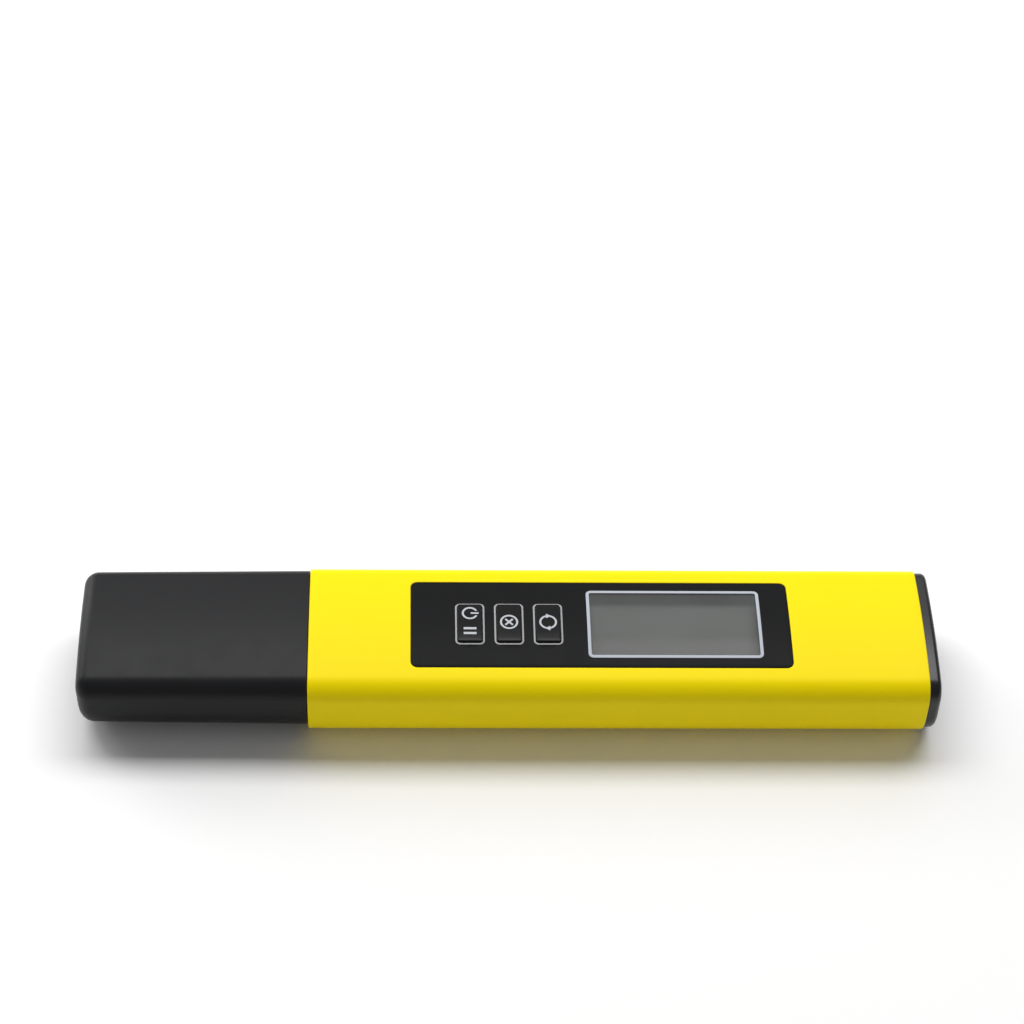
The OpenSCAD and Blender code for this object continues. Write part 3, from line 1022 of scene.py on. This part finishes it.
@dataclass(frozen=True)
class SolderMask(Finish):
    """Green solder mask over copper tracks, with tinned pads.

    Attributes:
        colour: Linear colour of bare mask.
        track: Linear colour of mask over copper.
        pitch: Spacing of the tracks in millimetres.
    """

    colour: Colour = (0.006, 0.060, 0.020)
    track: Colour = (0.014, 0.125, 0.040)
    pitch: float = 1.27

    def fill(self, wires: Wires, shader: bpy.types.Node) -> None:
        """Sets the board up.

        Args:
            wires: Wiring helper of the material.
            shader: The Principled shader.
        """
        cells = wires.millimetres(self.pitch)
        bent = wires.add("ShaderNodeTexVoronoi", {"feature": "F1", "distance": "MANHATTAN"},
                         Vector=cells, Scale=0.22).outputs["Distance"]
        lines = wires.math("PINGPONG", wires.math("MULTIPLY", bent, 4.5), 0.5)
        copper = wires.ramp(lines, 0.16, 0.20, 1.0, 0.0)
        dots = wires.add("ShaderNodeTexVoronoi", {"feature": "F1"}, Vector=cells, Scale=0.45)
        pads = wires.ramp(dots.outputs["Distance"], 0.17, 0.19, 1.0, 0.0)
        mask = wires.add("ShaderNodeMix", {"data_type": "RGBA"}, i0=copper,
                         i6=(*self.colour, 1.0), i7=(*self.track, 1.0)).outputs[2]
        tinned = wires.add("ShaderNodeMix", {"data_type": "RGBA"}, i0=pads, i6=mask,
                           i7=(0.62, 0.62, 0.60, 1.0)).outputs[2]
        wires.tree.links.new(tinned, shader.inputs["Base Color"])
        wires.tree.links.new(pads, shader.inputs["Metallic"])
        wires.tree.links.new(wires.ramp(copper, 0.0, 1.0, 0.30, 0.36), shader.inputs["Roughness"])
        self.bump(wires, shader, wires.math("MAXIMUM", copper, pads), 0.03)


class Looks(Enum):
    """Every finish of the meter, by what it covers."""

    HOUSING = Moulded("satin_yellow_shell", (0.945, 0.745, 0.0), 0.46, 0.30, 0.0035, 0.02, 0.4,
                      0.0, 0.10)
    CAP = Moulded("matte_black_cap", (0.0115, 0.0118, 0.0130), 0.40, 0.22, 0.004, 0.10, 0.5,
                  0.04, 0.15)
    END_PLUG = Moulded("black_end_plug", (0.009, 0.0085, 0.010), 0.30, 0.35, 0.003, 0.08, 0.4,
                       0.03, 0.40)
    FILM = Moulded("black_printed_film", (0.0085, 0.0088, 0.0095), 0.36, 0.18, 0.0012, 0.05, 0.6,
                   0.04, 0.05)
    KEY_PAD = Moulded("black_embossed_key", (0.0056, 0.0058, 0.0064), 0.16, 0.18, 0.0010, 0.05,
                      0.5, 0.03, 0.13)
    FRAME_LINE = Moulded("pale_blue_frame_ink", (0.45, 0.48, 0.54), 0.50, 0.10, 0.003, 0.04, 0.2,
                         0.0, 0.25)
    KEY_LINE = Moulded("silver_key_ink", (0.36, 0.36, 0.372), 0.45, 0.10, 0.003, 0.06, 0.2,
                       0.0, 0.3)
    LEGEND = Moulded("pale_legend_ink", (0.49, 0.51, 0.55), 0.50, 0.10, 0.003, 0.04, 0.2,
                     0.0, 0.25)
    PANE = ClearFilm("clear_window_film")
    DISPLAY = IdleDisplay("idle_display_glass")
    HEAD = Moulded("black_sensor_head", (0.018, 0.018, 0.019), 0.40, 0.25, 0.005, 0.08, 0.5,
                   0.03, 0.40)
    GUARD = Moulded("charcoal_guard", (0.024, 0.024, 0.026), 0.34, 0.30, 0.004, 0.08, 0.4,
                    0.02, 0.45)
    SEAL = Moulded("red_silicone_seal", (0.42, 0.025, 0.015), 0.38, 0.20, 0.003, 0.08, 0.3,
                   0.05, 0.45)
    TUBE = Moulded("milky_electrode_tube", (0.72, 0.70, 0.64), 0.30, 0.40, 0.002, 0.04, 0.2,
                   0.0, 0.45)
    WICK = Moulded("felt_wick", (0.70, 0.68, 0.62), 0.90, 0.10, 0.030, 0.10, 0.0, 0.0, 0.1)
    BULB = BlownGlass("blown_bulb_glass", (0.90, 0.97, 0.98))
    SILVER = DrawnMetal("silver_wire_metal", (0.78, 0.76, 0.72), 0.30, 0.05)
    STEEL = DrawnMetal("drawn_steel", (0.58, 0.58, 0.57), 0.26, 0.10)
    NICKEL = DrawnMetal("nickel_plate", (0.62, 0.59, 0.54), 0.30, 0.15)
    CELL = DrawnMetal("button_cell_can", (0.66, 0.66, 0.65), 0.24, 0.08, 0.0015)
    GOLD = DrawnMetal("gilt_spring_strip", (0.80, 0.58, 0.22), 0.26, 0.12)
    TRAY = Moulded("black_tray", (0.020, 0.020, 0.021), 0.48, 0.35, 0.008, 0.08, 0.5, 0.02, 0.35)
    CARRIER = Moulded("black_carrier", (0.022, 0.022, 0.023), 0.50, 0.35, 0.008, 0.08, 0.5,
                      0.0, 0.35)
    HOLDER = Moulded("white_display_holder", (0.70, 0.70, 0.68), 0.45, 0.30, 0.004, 0.04, 0.2,
                     0.0, 0.35)
    STRIP = Moulded("pink_contact_rubber", (0.60, 0.22, 0.22), 0.65, 0.08, 0.010, 0.10, 0.0,
                    0.0, 0.3)
    BOARD = SolderMask("green_solder_mask")
    EPOXY = Moulded("black_epoxy_drop", (0.010, 0.010, 0.011), 0.22, 0.80, 0.010, 0.10, 0.0,
                    0.0, 0.5)
    CHIP = Moulded("chip_case", (0.014, 0.014, 0.015), 0.55, 0.10, 0.004, 0.08, 0.0, 0.0, 0.35)
    CERAMIC = Moulded("tan_ceramic", (0.42, 0.24, 0.12), 0.40, 0.15, 0.004, 0.12, 0.0, 0.0, 0.4)
    BUTTON = Moulded("ivory_switch_button", (0.62, 0.58, 0.46), 0.40, 0.25, 0.003, 0.05, 0.2,
                     0.0, 0.4)
    SWITCH = Moulded("grey_switch_case", (0.20, 0.20, 0.21), 0.45, 0.20, 0.004, 0.06, 0.2,
                     0.0, 0.4)
    LEAD_BLACK = Moulded("black_lead_jacket", (0.014, 0.014, 0.015), 0.40, 0.20, 0.004, 0.08,
                         0.1, 0.0, 0.4)
    LEAD_RED = Moulded("red_lead_jacket", (0.50, 0.020, 0.015), 0.40, 0.20, 0.004, 0.08, 0.1,
                       0.0, 0.4)
    SPONGE = OpenFoam("storage_sponge")
    FLOOR = Moulded("pale_studio_floor", (0.97, 0.97, 0.97), 0.85, 3.0, 0.02, 0.01, 0.0,
                    0.0, 0.05)


# ----------------------------------------------------------- sub-assemblies


@dataclass
class SubAssembly:
    """A group of pieces that are built and dressed together.

    Attributes:
        body: CAD body that the pieces ride on.
    """

    body: str = "meter"

    def build(self) -> list[str]:
        """Builds and dresses the pieces; returns their names."""
        raise NotImplementedError

    def place(self, piece: bpy.types.Object, look: Looks, slot: str, *nodes: str,
              body: str | None = None) -> str:
        """Gives a new piece its finish, its body and the nodes it stands for.

        Args:
            piece: The new piece.
            look: Its finish.
            slot: Not used.
            nodes: CAD nodes that the piece replaces.
            body: CAD body, where it isn't the sub-assembly's own.

        Returns:
            The piece's name.
        """
        piece.data.materials.clear()
        piece.data.materials.append(look.value.material())
        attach(piece, body or self.body)
        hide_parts(*nodes)
        return piece.name

    def dress(self, look: Looks, *nodes: str) -> list[str]:
        """Gives carried-over CAD nodes their finish.

        Args:
            look: The finish.
            nodes: Names of the nodes.

        Returns:
            The same names.
        """
        for node in nodes:
            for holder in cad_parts[node].material_slots:
                holder.material = look.value.material()
        return list(nodes)


@dataclass
class Housing(SubAssembly):
    """Yellow one-piece shell, open at both ends.

    Attributes:
        wall: Wall thickness.
        rim: Rounding of the outer edge at both ends.
        inner_rim: Rounding of the inner edge at both ends.
        panel_r: Corner radius of the panel recess.
        recess: Depth of the recess.
        lip: Rounding of the recess's upper edge.
        ring_step: Spacing of the outer rings along the pen.
        bore_steps: Number of steps of the inner wall along the pen.
        bore_soft: How far the inner rounding bulges past a straight chamfer.
        window_r: Corner radius of the display opening.
        window_grow: Growth of the display opening past the printed frame.
        key_r: Corner radius of a key opening.
        key_grow: Growth of a key opening past the printed outline.
        cut_top: Height of the opening cutters' top, below the face.
        cut_low: Height of the opening cutters' underside, below the face.
        section: Cross-section of the shell.
    """

    wall: float = 1.8
    rim: float = 0.22
    inner_rim: float = 0.2
    panel_r: float = 1.3
    recess: float = 0.5
    lip: float = 0.1
    ring_step: float = 3.0
    bore_steps: int = 12
    bore_soft: float = 0.06
    window_r: float = 0.95
    window_grow: float = 0.75
    key_r: float = 0.9
    key_grow: float = 0.1
    cut_top: float = -0.25
    cut_low: float = -4.0
    section: PenSection = PenSection(30.5, 0.0, 17.1, 86.0, 3.9, 8.5)

    def build(self) -> list[str]:
        """Builds the shell and cuts its recess and openings.

        Returns:
            Name of the shell.
        """
        low, high = box_mm("housing")
        outer = [(low.x + d, i) for d, i in round_over(self.rim)]
        steps = int((high.x - low.x) / self.ring_step)
        outer += [(low.x + (high.x - low.x) * i / steps, 0.0) for i in range(1, steps)]
        outer += [(high.x - d, i) for d, i in reversed(round_over(self.rim))]
        inner_end, soft_end = self.wall - self.inner_rim, self.wall - self.bore_soft
        inner = [(high.x, inner_end), (high.x - self.inner_rim / 3, soft_end),
                 (high.x - self.inner_rim, self.wall)]
        inner += [(low.x + (high.x - low.x) * i / self.bore_steps, self.wall)
                  for i in range(self.bore_steps - 1, 0, -1)]
        inner += [(low.x + self.inner_rim, self.wall),
                  (low.x + self.inner_rim / 3, soft_end), (low.x, inner_end)]
        rings = [stand(x, self.section.loop(inset)) for x, inset in outer + inner]
        shell = loft("housing_shell", rings, close=True)
        cut_away(shell, self.cutters())
        return [self.place(shell, Looks.HOUSING, "housing_yellow", "housing")]

    def cutters(self) -> list[bpy.types.Object]:
        """Solids for the panel recess, the display opening and the key openings.

        Returns:
            The cutting solids.
        """
        lip = self.lip
        flare = ((-3.0 * lip, 2.0), (-3.0 * lip, 2.5 * lip), (-1.2 * lip, 0.1 * lip),
                 (-0.6 * lip, -0.15 * lip), (-0.25 * lip, -0.5 * lip), (0.0, -1.2 * lip))
        panel = FacePlate(RoundRect.round_node("overlay", self.panel_r), flare, -self.recess)
        cuts = [panel.build("cut_panel", self.section.face_z)]
        openings = [RoundRect.round_node("window_line_print", self.window_r, self.window_grow)]
        openings += [RoundRect.round_node(f"outline_{key.value}", self.key_r, self.key_grow)
                     for key in Key]
        for opening in openings:
            plate = FacePlate(opening, ((0.0, self.cut_top),), self.cut_low)
            cuts.append(plate.build("cut_opening", self.section.face_z))
        return cuts


class Key(Enum):
    """The three keys, from the cap end."""

    POWER = "power"
    CLEAR = "clear"
    MODE = "mode"


@dataclass
class FrontPanel(SubAssembly):
    """Printed film with its clear window, frame line and key outlines.

    Attributes:
        sink: Depth of the film's top below the housing's face.
        thick: Depth of the film's underside below the housing's face.
        ink: Thickness of the print.
        play: Gap between the film and the recess.
        film_edge: Run and drop of the film's outer edge, from the top down.
        hole_edge: Run and drop of the edge of the film's holes.
        line_edge: Run and drop of a print's edges.
        pane_lift: How much higher the pane's underside is than the film's.
        line_grid: Spacing of the inner points of a print.
        panel_r: Corner radius of the film.
        window_r: Corner radius of the printed window frame.
        window_line: Width of the window frame.
        key_r: Corner radius of a key's outline.
        key_line: Width of a key's outline.
        section: Cross-section of the housing.
    """

    sink: float = 0.05
    thick: float = 0.48
    ink: float = 0.03
    play: float = 0.04
    film_edge: tuple[Point2, ...] = ((0.06, 0.0), (0.02, 0.02), (0.0, 0.06))
    hole_edge: tuple[Point2, ...] = ((0.04, 0.0), (0.01, 0.015), (0.0, 0.04))
    line_edge: tuple[Point2, ...] = ((0.03, 0.0), (0.01, 0.004), (0.0, 0.012))
    pane_lift: float = 0.1
    line_grid: float = 3.0
    panel_r: float = 1.3
    window_r: float = 0.95
    window_line: float = 0.57
    key_r: float = 0.9
    key_line: float = 0.32
    section: PenSection = Housing.section

    def build(self) -> list[str]:
        """Builds the film, the pane and the prints.

        Returns:
            Names of the pieces.
        """
        face = self.section.face_z
        pane = RoundRect.round_node("window_line_print", self.window_r, 0.0)
        window = RoundRect.round_node("window_line_print", self.window_r, -self.window_line)
        holes = [RoundRect.round_node(f"outline_{key.value}", self.key_r, -self.key_line)
                 for key in Key]
        top = -self.sink
        edge = tuple((self.play + run, top - drop) for run, drop in self.film_edge)
        rim = tuple((run, top - drop) for run, drop in self.hole_edge)
        film = FacePlate(RoundRect.round_node("overlay", self.panel_r), edge, -self.thick,
                         (window, *holes), rim)
        names = [self.place(film.build("panel_film", face), Looks.FILM, "panel_black", "overlay")]
        clear = FacePlate(window, ((0.0, top),), -self.thick + self.pane_lift)
        names.append(self.place(clear.build("window_pane", face), Looks.PANE, "window_clear",
                                "lcd_window"))
        names.append(self.print_line("window_frame_line", pane, self.window_line,
                                     Looks.FRAME_LINE, "print_pale_blue", "window_line_print"))
        for key in Key:
            node = f"outline_{key.value}"
            names.append(self.print_line(f"key_line_{key.value}",
                                         RoundRect.round_node(node, self.key_r),
                                         self.key_line, Looks.KEY_LINE, "print_silver", node))
        return names

    def print_line(self, name: str, shape: RoundRect, width: float, look: Looks, slot: str,
                   node: str) -> str:
        """Builds a printed frame line.

        Args:
            name: Name of the piece.
            shape: Outer edge of the line.
            width: Width of the line.
            look: Its finish.
            slot: Slot name, handed on to place.
            node: CAD node that the piece replaces.

        Returns:
            The piece's name.
        """
        top = self.ink - self.sink
        hole = RoundRect(shape.x, shape.y, shape.length - 2 * width, shape.width - 2 * width,
                         shape.radius - width)
        edge = tuple((run, top - drop) for run, drop in self.line_edge)
        line = FacePlate(shape, edge, -self.sink, (hole,), edge, grid=self.line_grid)
        return self.place(line.build(name, self.section.face_z), look, slot, node)


@dataclass
class Keypad(SubAssembly):
    """Three embossed keys with their legends and the switches under them.

    Attributes:
        gap: Gap between a pad and the film.
        rise: Height of the pad's top above the housing's face.
        slope: Tilt of the pad's bevelled border, in degrees.
        slope_w: Width of that border.
        edge_r: Radius of the pad's outer edge.
        thick: Depth of the pad's underside below the housing's face.
        key_r: Corner radius of a key's outline.
        key_line: Thickness of a key's outline.
        stem_r: Radius of the stem under the pad.
        crease: Width of the soft crease inside the bevelled border.
        crease_drop: Drop of that crease.
        edge_steps: Number of steps of the pad's outer edge.
        grid: Spacing of the inner points of the pad.
        stem_in: How far the stem reaches into the pad.
        section: Cross-section of the housing.
    """

    gap: float = 0.12
    rise: float = 0.41
    slope: float = 12.0
    slope_w: float = 0.24
    edge_r: float = 0.10
    thick: float = 0.48
    key_r: float = 0.9
    key_line: float = 0.32
    stem_r: float = 1.3
    crease: float = 0.08
    crease_drop: float = 0.004
    edge_steps: int = 5
    grid: float = 0.8
    stem_in: float = 0.1
    section: PenSection = Housing.section

    def build(self) -> list[str]:
        """Builds the pads and dresses legends and switches.

        Returns:
            Names of the pieces.
        """
        names = []
        for key in Key:
            names.append(self.pad(key))
            names += self.dress(Looks.LEGEND, f"icon_{key.value}")
            names += self.dress(Looks.BUTTON, f"switch_button_{key.value}")
            names += self.dress(Looks.SWITCH, f"switch_body_{key.value}")
        return names

    def pad(self, key: Key) -> str:
        """Builds one embossed pad with its stem.

        Args:
            key: Which key.

        Returns:
            The piece's name.
        """
        shape = RoundRect.round_node(f"outline_{key.value}", self.key_r,
                                     -self.key_line - self.gap)
        slope = math.radians(self.slope)
        round_r = self.edge_r
        start = self.slope_w - round_r * (1 - math.sin(slope))
        low_z = self.rise - start * math.tan(slope)
        edge = [(self.slope_w + self.crease, self.rise),
                (self.slope_w, self.rise - self.crease_drop)]
        turns = [slope + (math.pi / 2 - slope) * i / self.edge_steps
                 for i in range(self.edge_steps + 1)]
        edge += [(round_r * (1 - math.sin(t)),
                  low_z - round_r * (math.cos(slope) - math.cos(t))) for t in turns]
        plate = FacePlate(shape, tuple(edge), -self.thick, grid=self.grid)
        pad = plate.build(f"key_pad_{key.value}", self.section.face_z)
        low = box_mm(f"key_{key.value}")[0]
        top = self.section.face_z(shape.y) - self.thick + self.stem_in
        join(pad, [upright_pin("stem", (shape.x, shape.y), low.z, top, self.stem_r)])
        return self.place(pad, Looks.KEY_PAD, "key_black", f"key_{key.value}",
                          body=f"key_{key.value}")


@dataclass
class DisplayStack(SubAssembly):
    """Display glass with its holder and its two rubber contact strips."""

    def build(self) -> list[str]:
        """Dresses the display's parts; returns their names."""
        names = self.dress(Looks.DISPLAY, "lcd_glass")
        names += self.dress(Looks.HOLDER, "lcd_holder")
        return names + self.dress(Looks.STRIP, "contact_strip_far", "contact_strip_near")


@dataclass
class CircuitBoard(SubAssembly):
    """Board with its carrier, chips, leads and battery springs."""

    def build(self) -> list[str]:
        """Dresses the board's parts; returns their names."""
        looks = {
            Looks.CARRIER: ("board_carrier",),
            Looks.BOARD: ("circuit_board",),
            Looks.STEEL: ("board_screws",),
            Looks.EPOXY: ("controller_blob",),
            Looks.CHIP: ("amplifier_chip", "resistors"),
            Looks.NICKEL: ("crystal",),
            Looks.CERAMIC: ("capacitors",),
            Looks.GOLD: ("battery_contacts",),
            Looks.LEAD_BLACK: ("electrode_lead",),
            Looks.LEAD_RED: ("temperature_lead",),
        }
        return [name for look, nodes in looks.items() for name in self.dress(look, *nodes)]


@dataclass
class BatteryDrawer(SubAssembly):
    """End plug, its seal, and the tray with two button cells.

    Attributes:
        body: CAD body that the pieces ride on.
        wall: Wall thickness of the housing.
        slide: Clearance of the plug inside the housing.
        inset: Step from the housing's side to the plug's.
        groove: Depth of the seal's groove below the housing's wall.
        edge: Rounding of the plug's outer edge.
        edge_steps: Number of steps of that rounding.
        lip: Width of the rings beside the seal's groove.
        lead_in: Chamfer of the plug's inner end.
        face_in: Width of the flat ring inside the rounded edge.
        section: Cross-section of the housing.
    """

    body: str = "battery_drawer"
    wall: float = 1.8
    slide: float = 0.3
    inset: float = 0.35
    groove: float = 1.1
    edge: float = 1.0
    edge_steps: int = 8
    lip: float = 0.5
    lead_in: float = 0.15
    face_in: float = 0.5
    section: PenSection = Housing.section

    def build(self) -> list[str]:
        """Builds the end plug and dresses the drawer.

        Returns:
            Names of the pieces.
        """
        low, high = box_mm("battery_cover")
        back = box_mm("housing")[1].x
        loose, deep = self.wall + self.slide, self.wall + self.groove
        steps = [(low.x, loose + self.lead_in), (low.x + self.lead_in, loose),
                 (low.x + self.lip, loose),
                 (low.x + self.lip, deep), (back - self.lip, deep), (back - self.lip, loose),
                 (back, loose), (back, self.inset)]
        rounding = reversed(round_over(self.edge, self.edge_steps))
        steps += [(high.x - d, self.inset + i) for d, i in rounding]
        steps.append((high.x, self.inset + self.edge + self.face_in))
        rings = [stand(x, self.section.loop(inset)) for x, inset in steps]
        plug = loft("end_plug", rings, close=False, cap_ends=True)
        names = [self.place(plug, Looks.END_PLUG, "cover_black", "battery_cover")]
        names += self.dress(Looks.SEAL, "cover_seal")
        names += self.dress(Looks.TRAY, "battery_tray")
        names += self.dress(Looks.NICKEL, "battery_link")
        return names + self.dress(Looks.CELL, "battery_cell_1", "battery_cell_2")


@dataclass
class SensorHead(SubAssembly):
    """Neck, guard, glass electrode and temperature probe."""

    def build(self) -> list[str]:
        """Dresses the sensor's parts; returns their names."""
        looks = {
            Looks.HEAD: ("sensor_head",),
            Looks.SEAL: ("head_seal", "neck_seal"),
            Looks.GUARD: ("probe_guard",),
            Looks.TUBE: ("electrode_tube",),
            Looks.BULB: ("glass_bulb",),
            Looks.SILVER: ("silver_wire",),
            Looks.WICK: ("reference_wick",),
            Looks.STEEL: ("temperature_probe",),
        }
        return [name for look, nodes in looks.items() for name in self.dress(look, *nodes)]


@dataclass
class Cap(SubAssembly):
    """Pull-off cap with its storage sponge.

    Attributes:
        body: CAD body that the pieces ride on.
        wall: Wall thickness.
        end: Thickness of the closed end.
        taper: How much slimmer each side is at the closed end.
        lean: How far the foot of the closed end keeps back.
        lean_reach: Length over which the lean fades out.
        round_end: Rounding of the closed end.
        rim: Rounding of the mouth's outer edge.
        side_steps: Number of steps of the sides along the pen.
        round_steps: Number of steps of the closed end's rounding.
        end_rings: Insets of the closed end's rings past its rounding.
        hollow_soft: Chamfer of the hollow's closed end.
        mouth: Distance of the mouth's chamfer from the mouth.
        mouth_past: How far past the mouth the chamfer runs.
        mouth_wide: Widening of the hollow at the mouth.
        cut_past: How far past the mouth the hollow's cutter runs.
        section: Cross-section of the cap.
    """

    body: str = "cap"
    wall: float = 1.6
    end: float = 2.2
    taper: float = 0.4
    lean: float = 0.45
    lean_reach: float = 9.0
    round_end: float = 2.7
    rim: float = 0.12
    side_steps: int = 12
    round_steps: int = 10
    end_rings: tuple[float, ...] = (0.35, 1.2, 2.4)
    hollow_soft: float = 0.4
    mouth: float = 0.25
    mouth_past: float = 0.05
    mouth_wide: float = 0.2
    cut_past: float = 1.0
    section: PenSection = PenSection(29.8, 0.8, 17.0, 85.9, 3.9, 8.5)

    def build(self) -> list[str]:
        """Builds the cap and dresses its sponge.

        Returns:
            Names of the pieces.
        """
        low, high = box_mm("cap")
        span = high.x - low.x

        def slim(x: float) -> float:
            """Inset that the taper gives at a place along the pen."""
            return self.taper * (high.x - x) / span

        def leaning(x: float, inset: float) -> list[Point3]:
            """Ring whose foot keeps back from the closed end."""
            near_end = max(0.0, 1.0 - (x - low.x) / self.lean_reach)
            tall = self.section.high - self.section.low
            return [(x + near_end * self.lean * (self.section.high - z) / tall, y, z)
                    for y, z in self.section.loop(inset + slim(x))]

        outer = [(high.x - d, i) for d, i in round_over(self.rim)]
        outer += [(high.x - span * i / self.side_steps, 0.0) for i in range(1, self.side_steps)]
        outer += [(low.x + d, i)
                  for d, i in reversed(round_over(self.round_end, self.round_steps))]
        rings = [leaning(x, inset) for x, inset in outer]
        rings += [leaning(low.x, self.round_end + more) for more in self.end_rings]
        shell = loft("cap_shell", rings, close=False, cap_ends=True)
        thin = self.wall - self.mouth_wide
        hollow_steps = [(low.x + self.end, self.wall + self.hollow_soft),
                        (low.x + self.end + self.hollow_soft, self.wall),
                        (high.x - self.mouth, self.wall), (high.x + self.mouth_past, thin),
                        (high.x + self.cut_past, thin)]
        hollow = loft("cut_cap", [stand(x, self.section.loop(i)) for x, i in hollow_steps],
                      close=False, cap_ends=True)
        cut_away(shell, [hollow])
        names = [self.place(shell, Looks.CAP, "cap_black", "cap")]
        return names + self.dress(Looks.SPONGE, "cap_sponge")


@dataclass
class Softbox:
    """One rectangular studio light.

    Attributes:
        name: Name of the light.
        place: Where it hangs, in metres.
        aim: Point that it faces, in metres.
        size: Length and width in metres.
        power: Power in watts.
    """

    name: str
    place: Point3
    aim: Point3
    size: Point2
    power: float

    def build(self) -> None:
        """Makes the light."""
        data = bpy.data.lights.new(self.name, "AREA")
        data.shape = "RECTANGLE"
        data.size, data.size_y = self.size
        data.energy = self.power
        lamp = bpy.data.objects.new(self.name, data)
        lamp.location = self.place
        towards = Vector(self.aim) - Vector(self.place)
        lamp.rotation_euler = towards.to_track_quat("-Z", "Y").to_euler()
        bpy.context.scene.collection.objects.link(lamp)


@dataclass
class Studio:
    """Floor, soft lights, backdrop light and camera.

    Attributes:
        target: Point that the camera looks at, in millimetres.
        distance: Distance of the camera in millimetres.
        azimuth: Direction of the camera round the pen, in degrees.
        elevation: Height of the camera above the floor, in degrees.
        roll: Turn of the camera about its own axis, in degrees.
        lens: Focal length in millimetres.
        sensor: Width of the camera's sensor in millimetres.
        clip: Nearest and farthest distance that the camera sees, in metres.
        floor_half: Half the floor's side in metres.
        sky: Colour of the light from all round.
        sky_strength: Strength of that light.
        lights: The soft lights.
    """

    target: Point3 = (2.028, 42.113, 0.0)
    distance: float = 576.13
    azimuth: float = -3.263
    elevation: float = 48.047
    roll: float = 2.678
    lens: float = 104.152
    sensor: float = 36.0
    clip: Point2 = (0.02, 20.0)
    floor_half: float = 3.0
    sky: Colour = (1.0, 1.0, 1.0)
    sky_strength: float = 0.23
    lights: tuple[Softbox, ...] = (
        Softbox("top_box", (0.0, 0.33, 0.80), (0.0, 0.0, 0.0), (1.2, 0.34), 7.2),
        Softbox("far_box", (0.0, 0.95, 0.75), (0.0, 0.0, 0.0), (1.6, 0.7), 3.4),
        Softbox("left_box", (-0.78, 0.66, 0.34), (-0.06, 0.0, 0.0), (0.6, 0.6), 4.0),
    )

    def build(self) -> None:
        """Makes floor, lights and camera."""
        half = self.floor_half / MM
        floor = make_object("studio_floor", [(-half, -half, 0.0), (half, -half, 0.0),
                                             (half, half, 0.0), (-half, half, 0.0)],
                            [(0, 1, 2, 3)])
        floor.data.materials.append(Looks.FLOOR.value.material())
        for light in self.lights:
            light.build()
        world = bpy.data.worlds.new("studio_sky")
        bpy.context.scene.world = world
        world.use_nodes = True
        backdrop = world.node_tree.nodes["Background"]
        backdrop.inputs["Color"].default_value = (*self.sky, 1.0)
        backdrop.inputs["Strength"].default_value = self.sky_strength
        self.aim_camera()
        bpy.context.scene.view_settings.view_transform = "Standard"

    def aim_camera(self) -> None:
        """Makes the camera and points it at the pen."""
        turn, rise = math.radians(self.azimuth), math.radians(self.elevation)
        back = Vector((math.sin(turn) * math.cos(rise), -math.cos(turn) * math.cos(rise),
                       math.sin(rise)))
        data = bpy.data.cameras.new("main_camera")
        data.lens = self.lens
        data.sensor_width = self.sensor
        data.clip_start, data.clip_end = self.clip
        camera = bpy.data.objects.new("main_camera", data)
        camera.location = (Vector(self.target) + back * self.distance) * MM
        level = (-back).to_track_quat("-Z", "Y").to_matrix().to_4x4()
        tilt = Matrix.Rotation(math.radians(self.roll), 4, "Z")
        camera.rotation_euler = (level @ tilt).to_euler()
        bpy.context.scene.collection.objects.link(camera)
        bpy.context.scene.camera = camera


def main() -> None:
    """Builds the studio and every sub-assembly."""
    Studio().build()
    groups: tuple[SubAssembly, ...] = (
        Housing(), FrontPanel(), Keypad(), DisplayStack(), CircuitBoard(), BatteryDrawer(),
        SensorHead(), Cap())
    for group in groups:
        for name in group.build():
            log.info("%s: %s", type(group).__name__, name)


if __name__ == "__main__":
    logging.basicConfig(level=logging.INFO, format="%(name)s %(message)s")
    main()
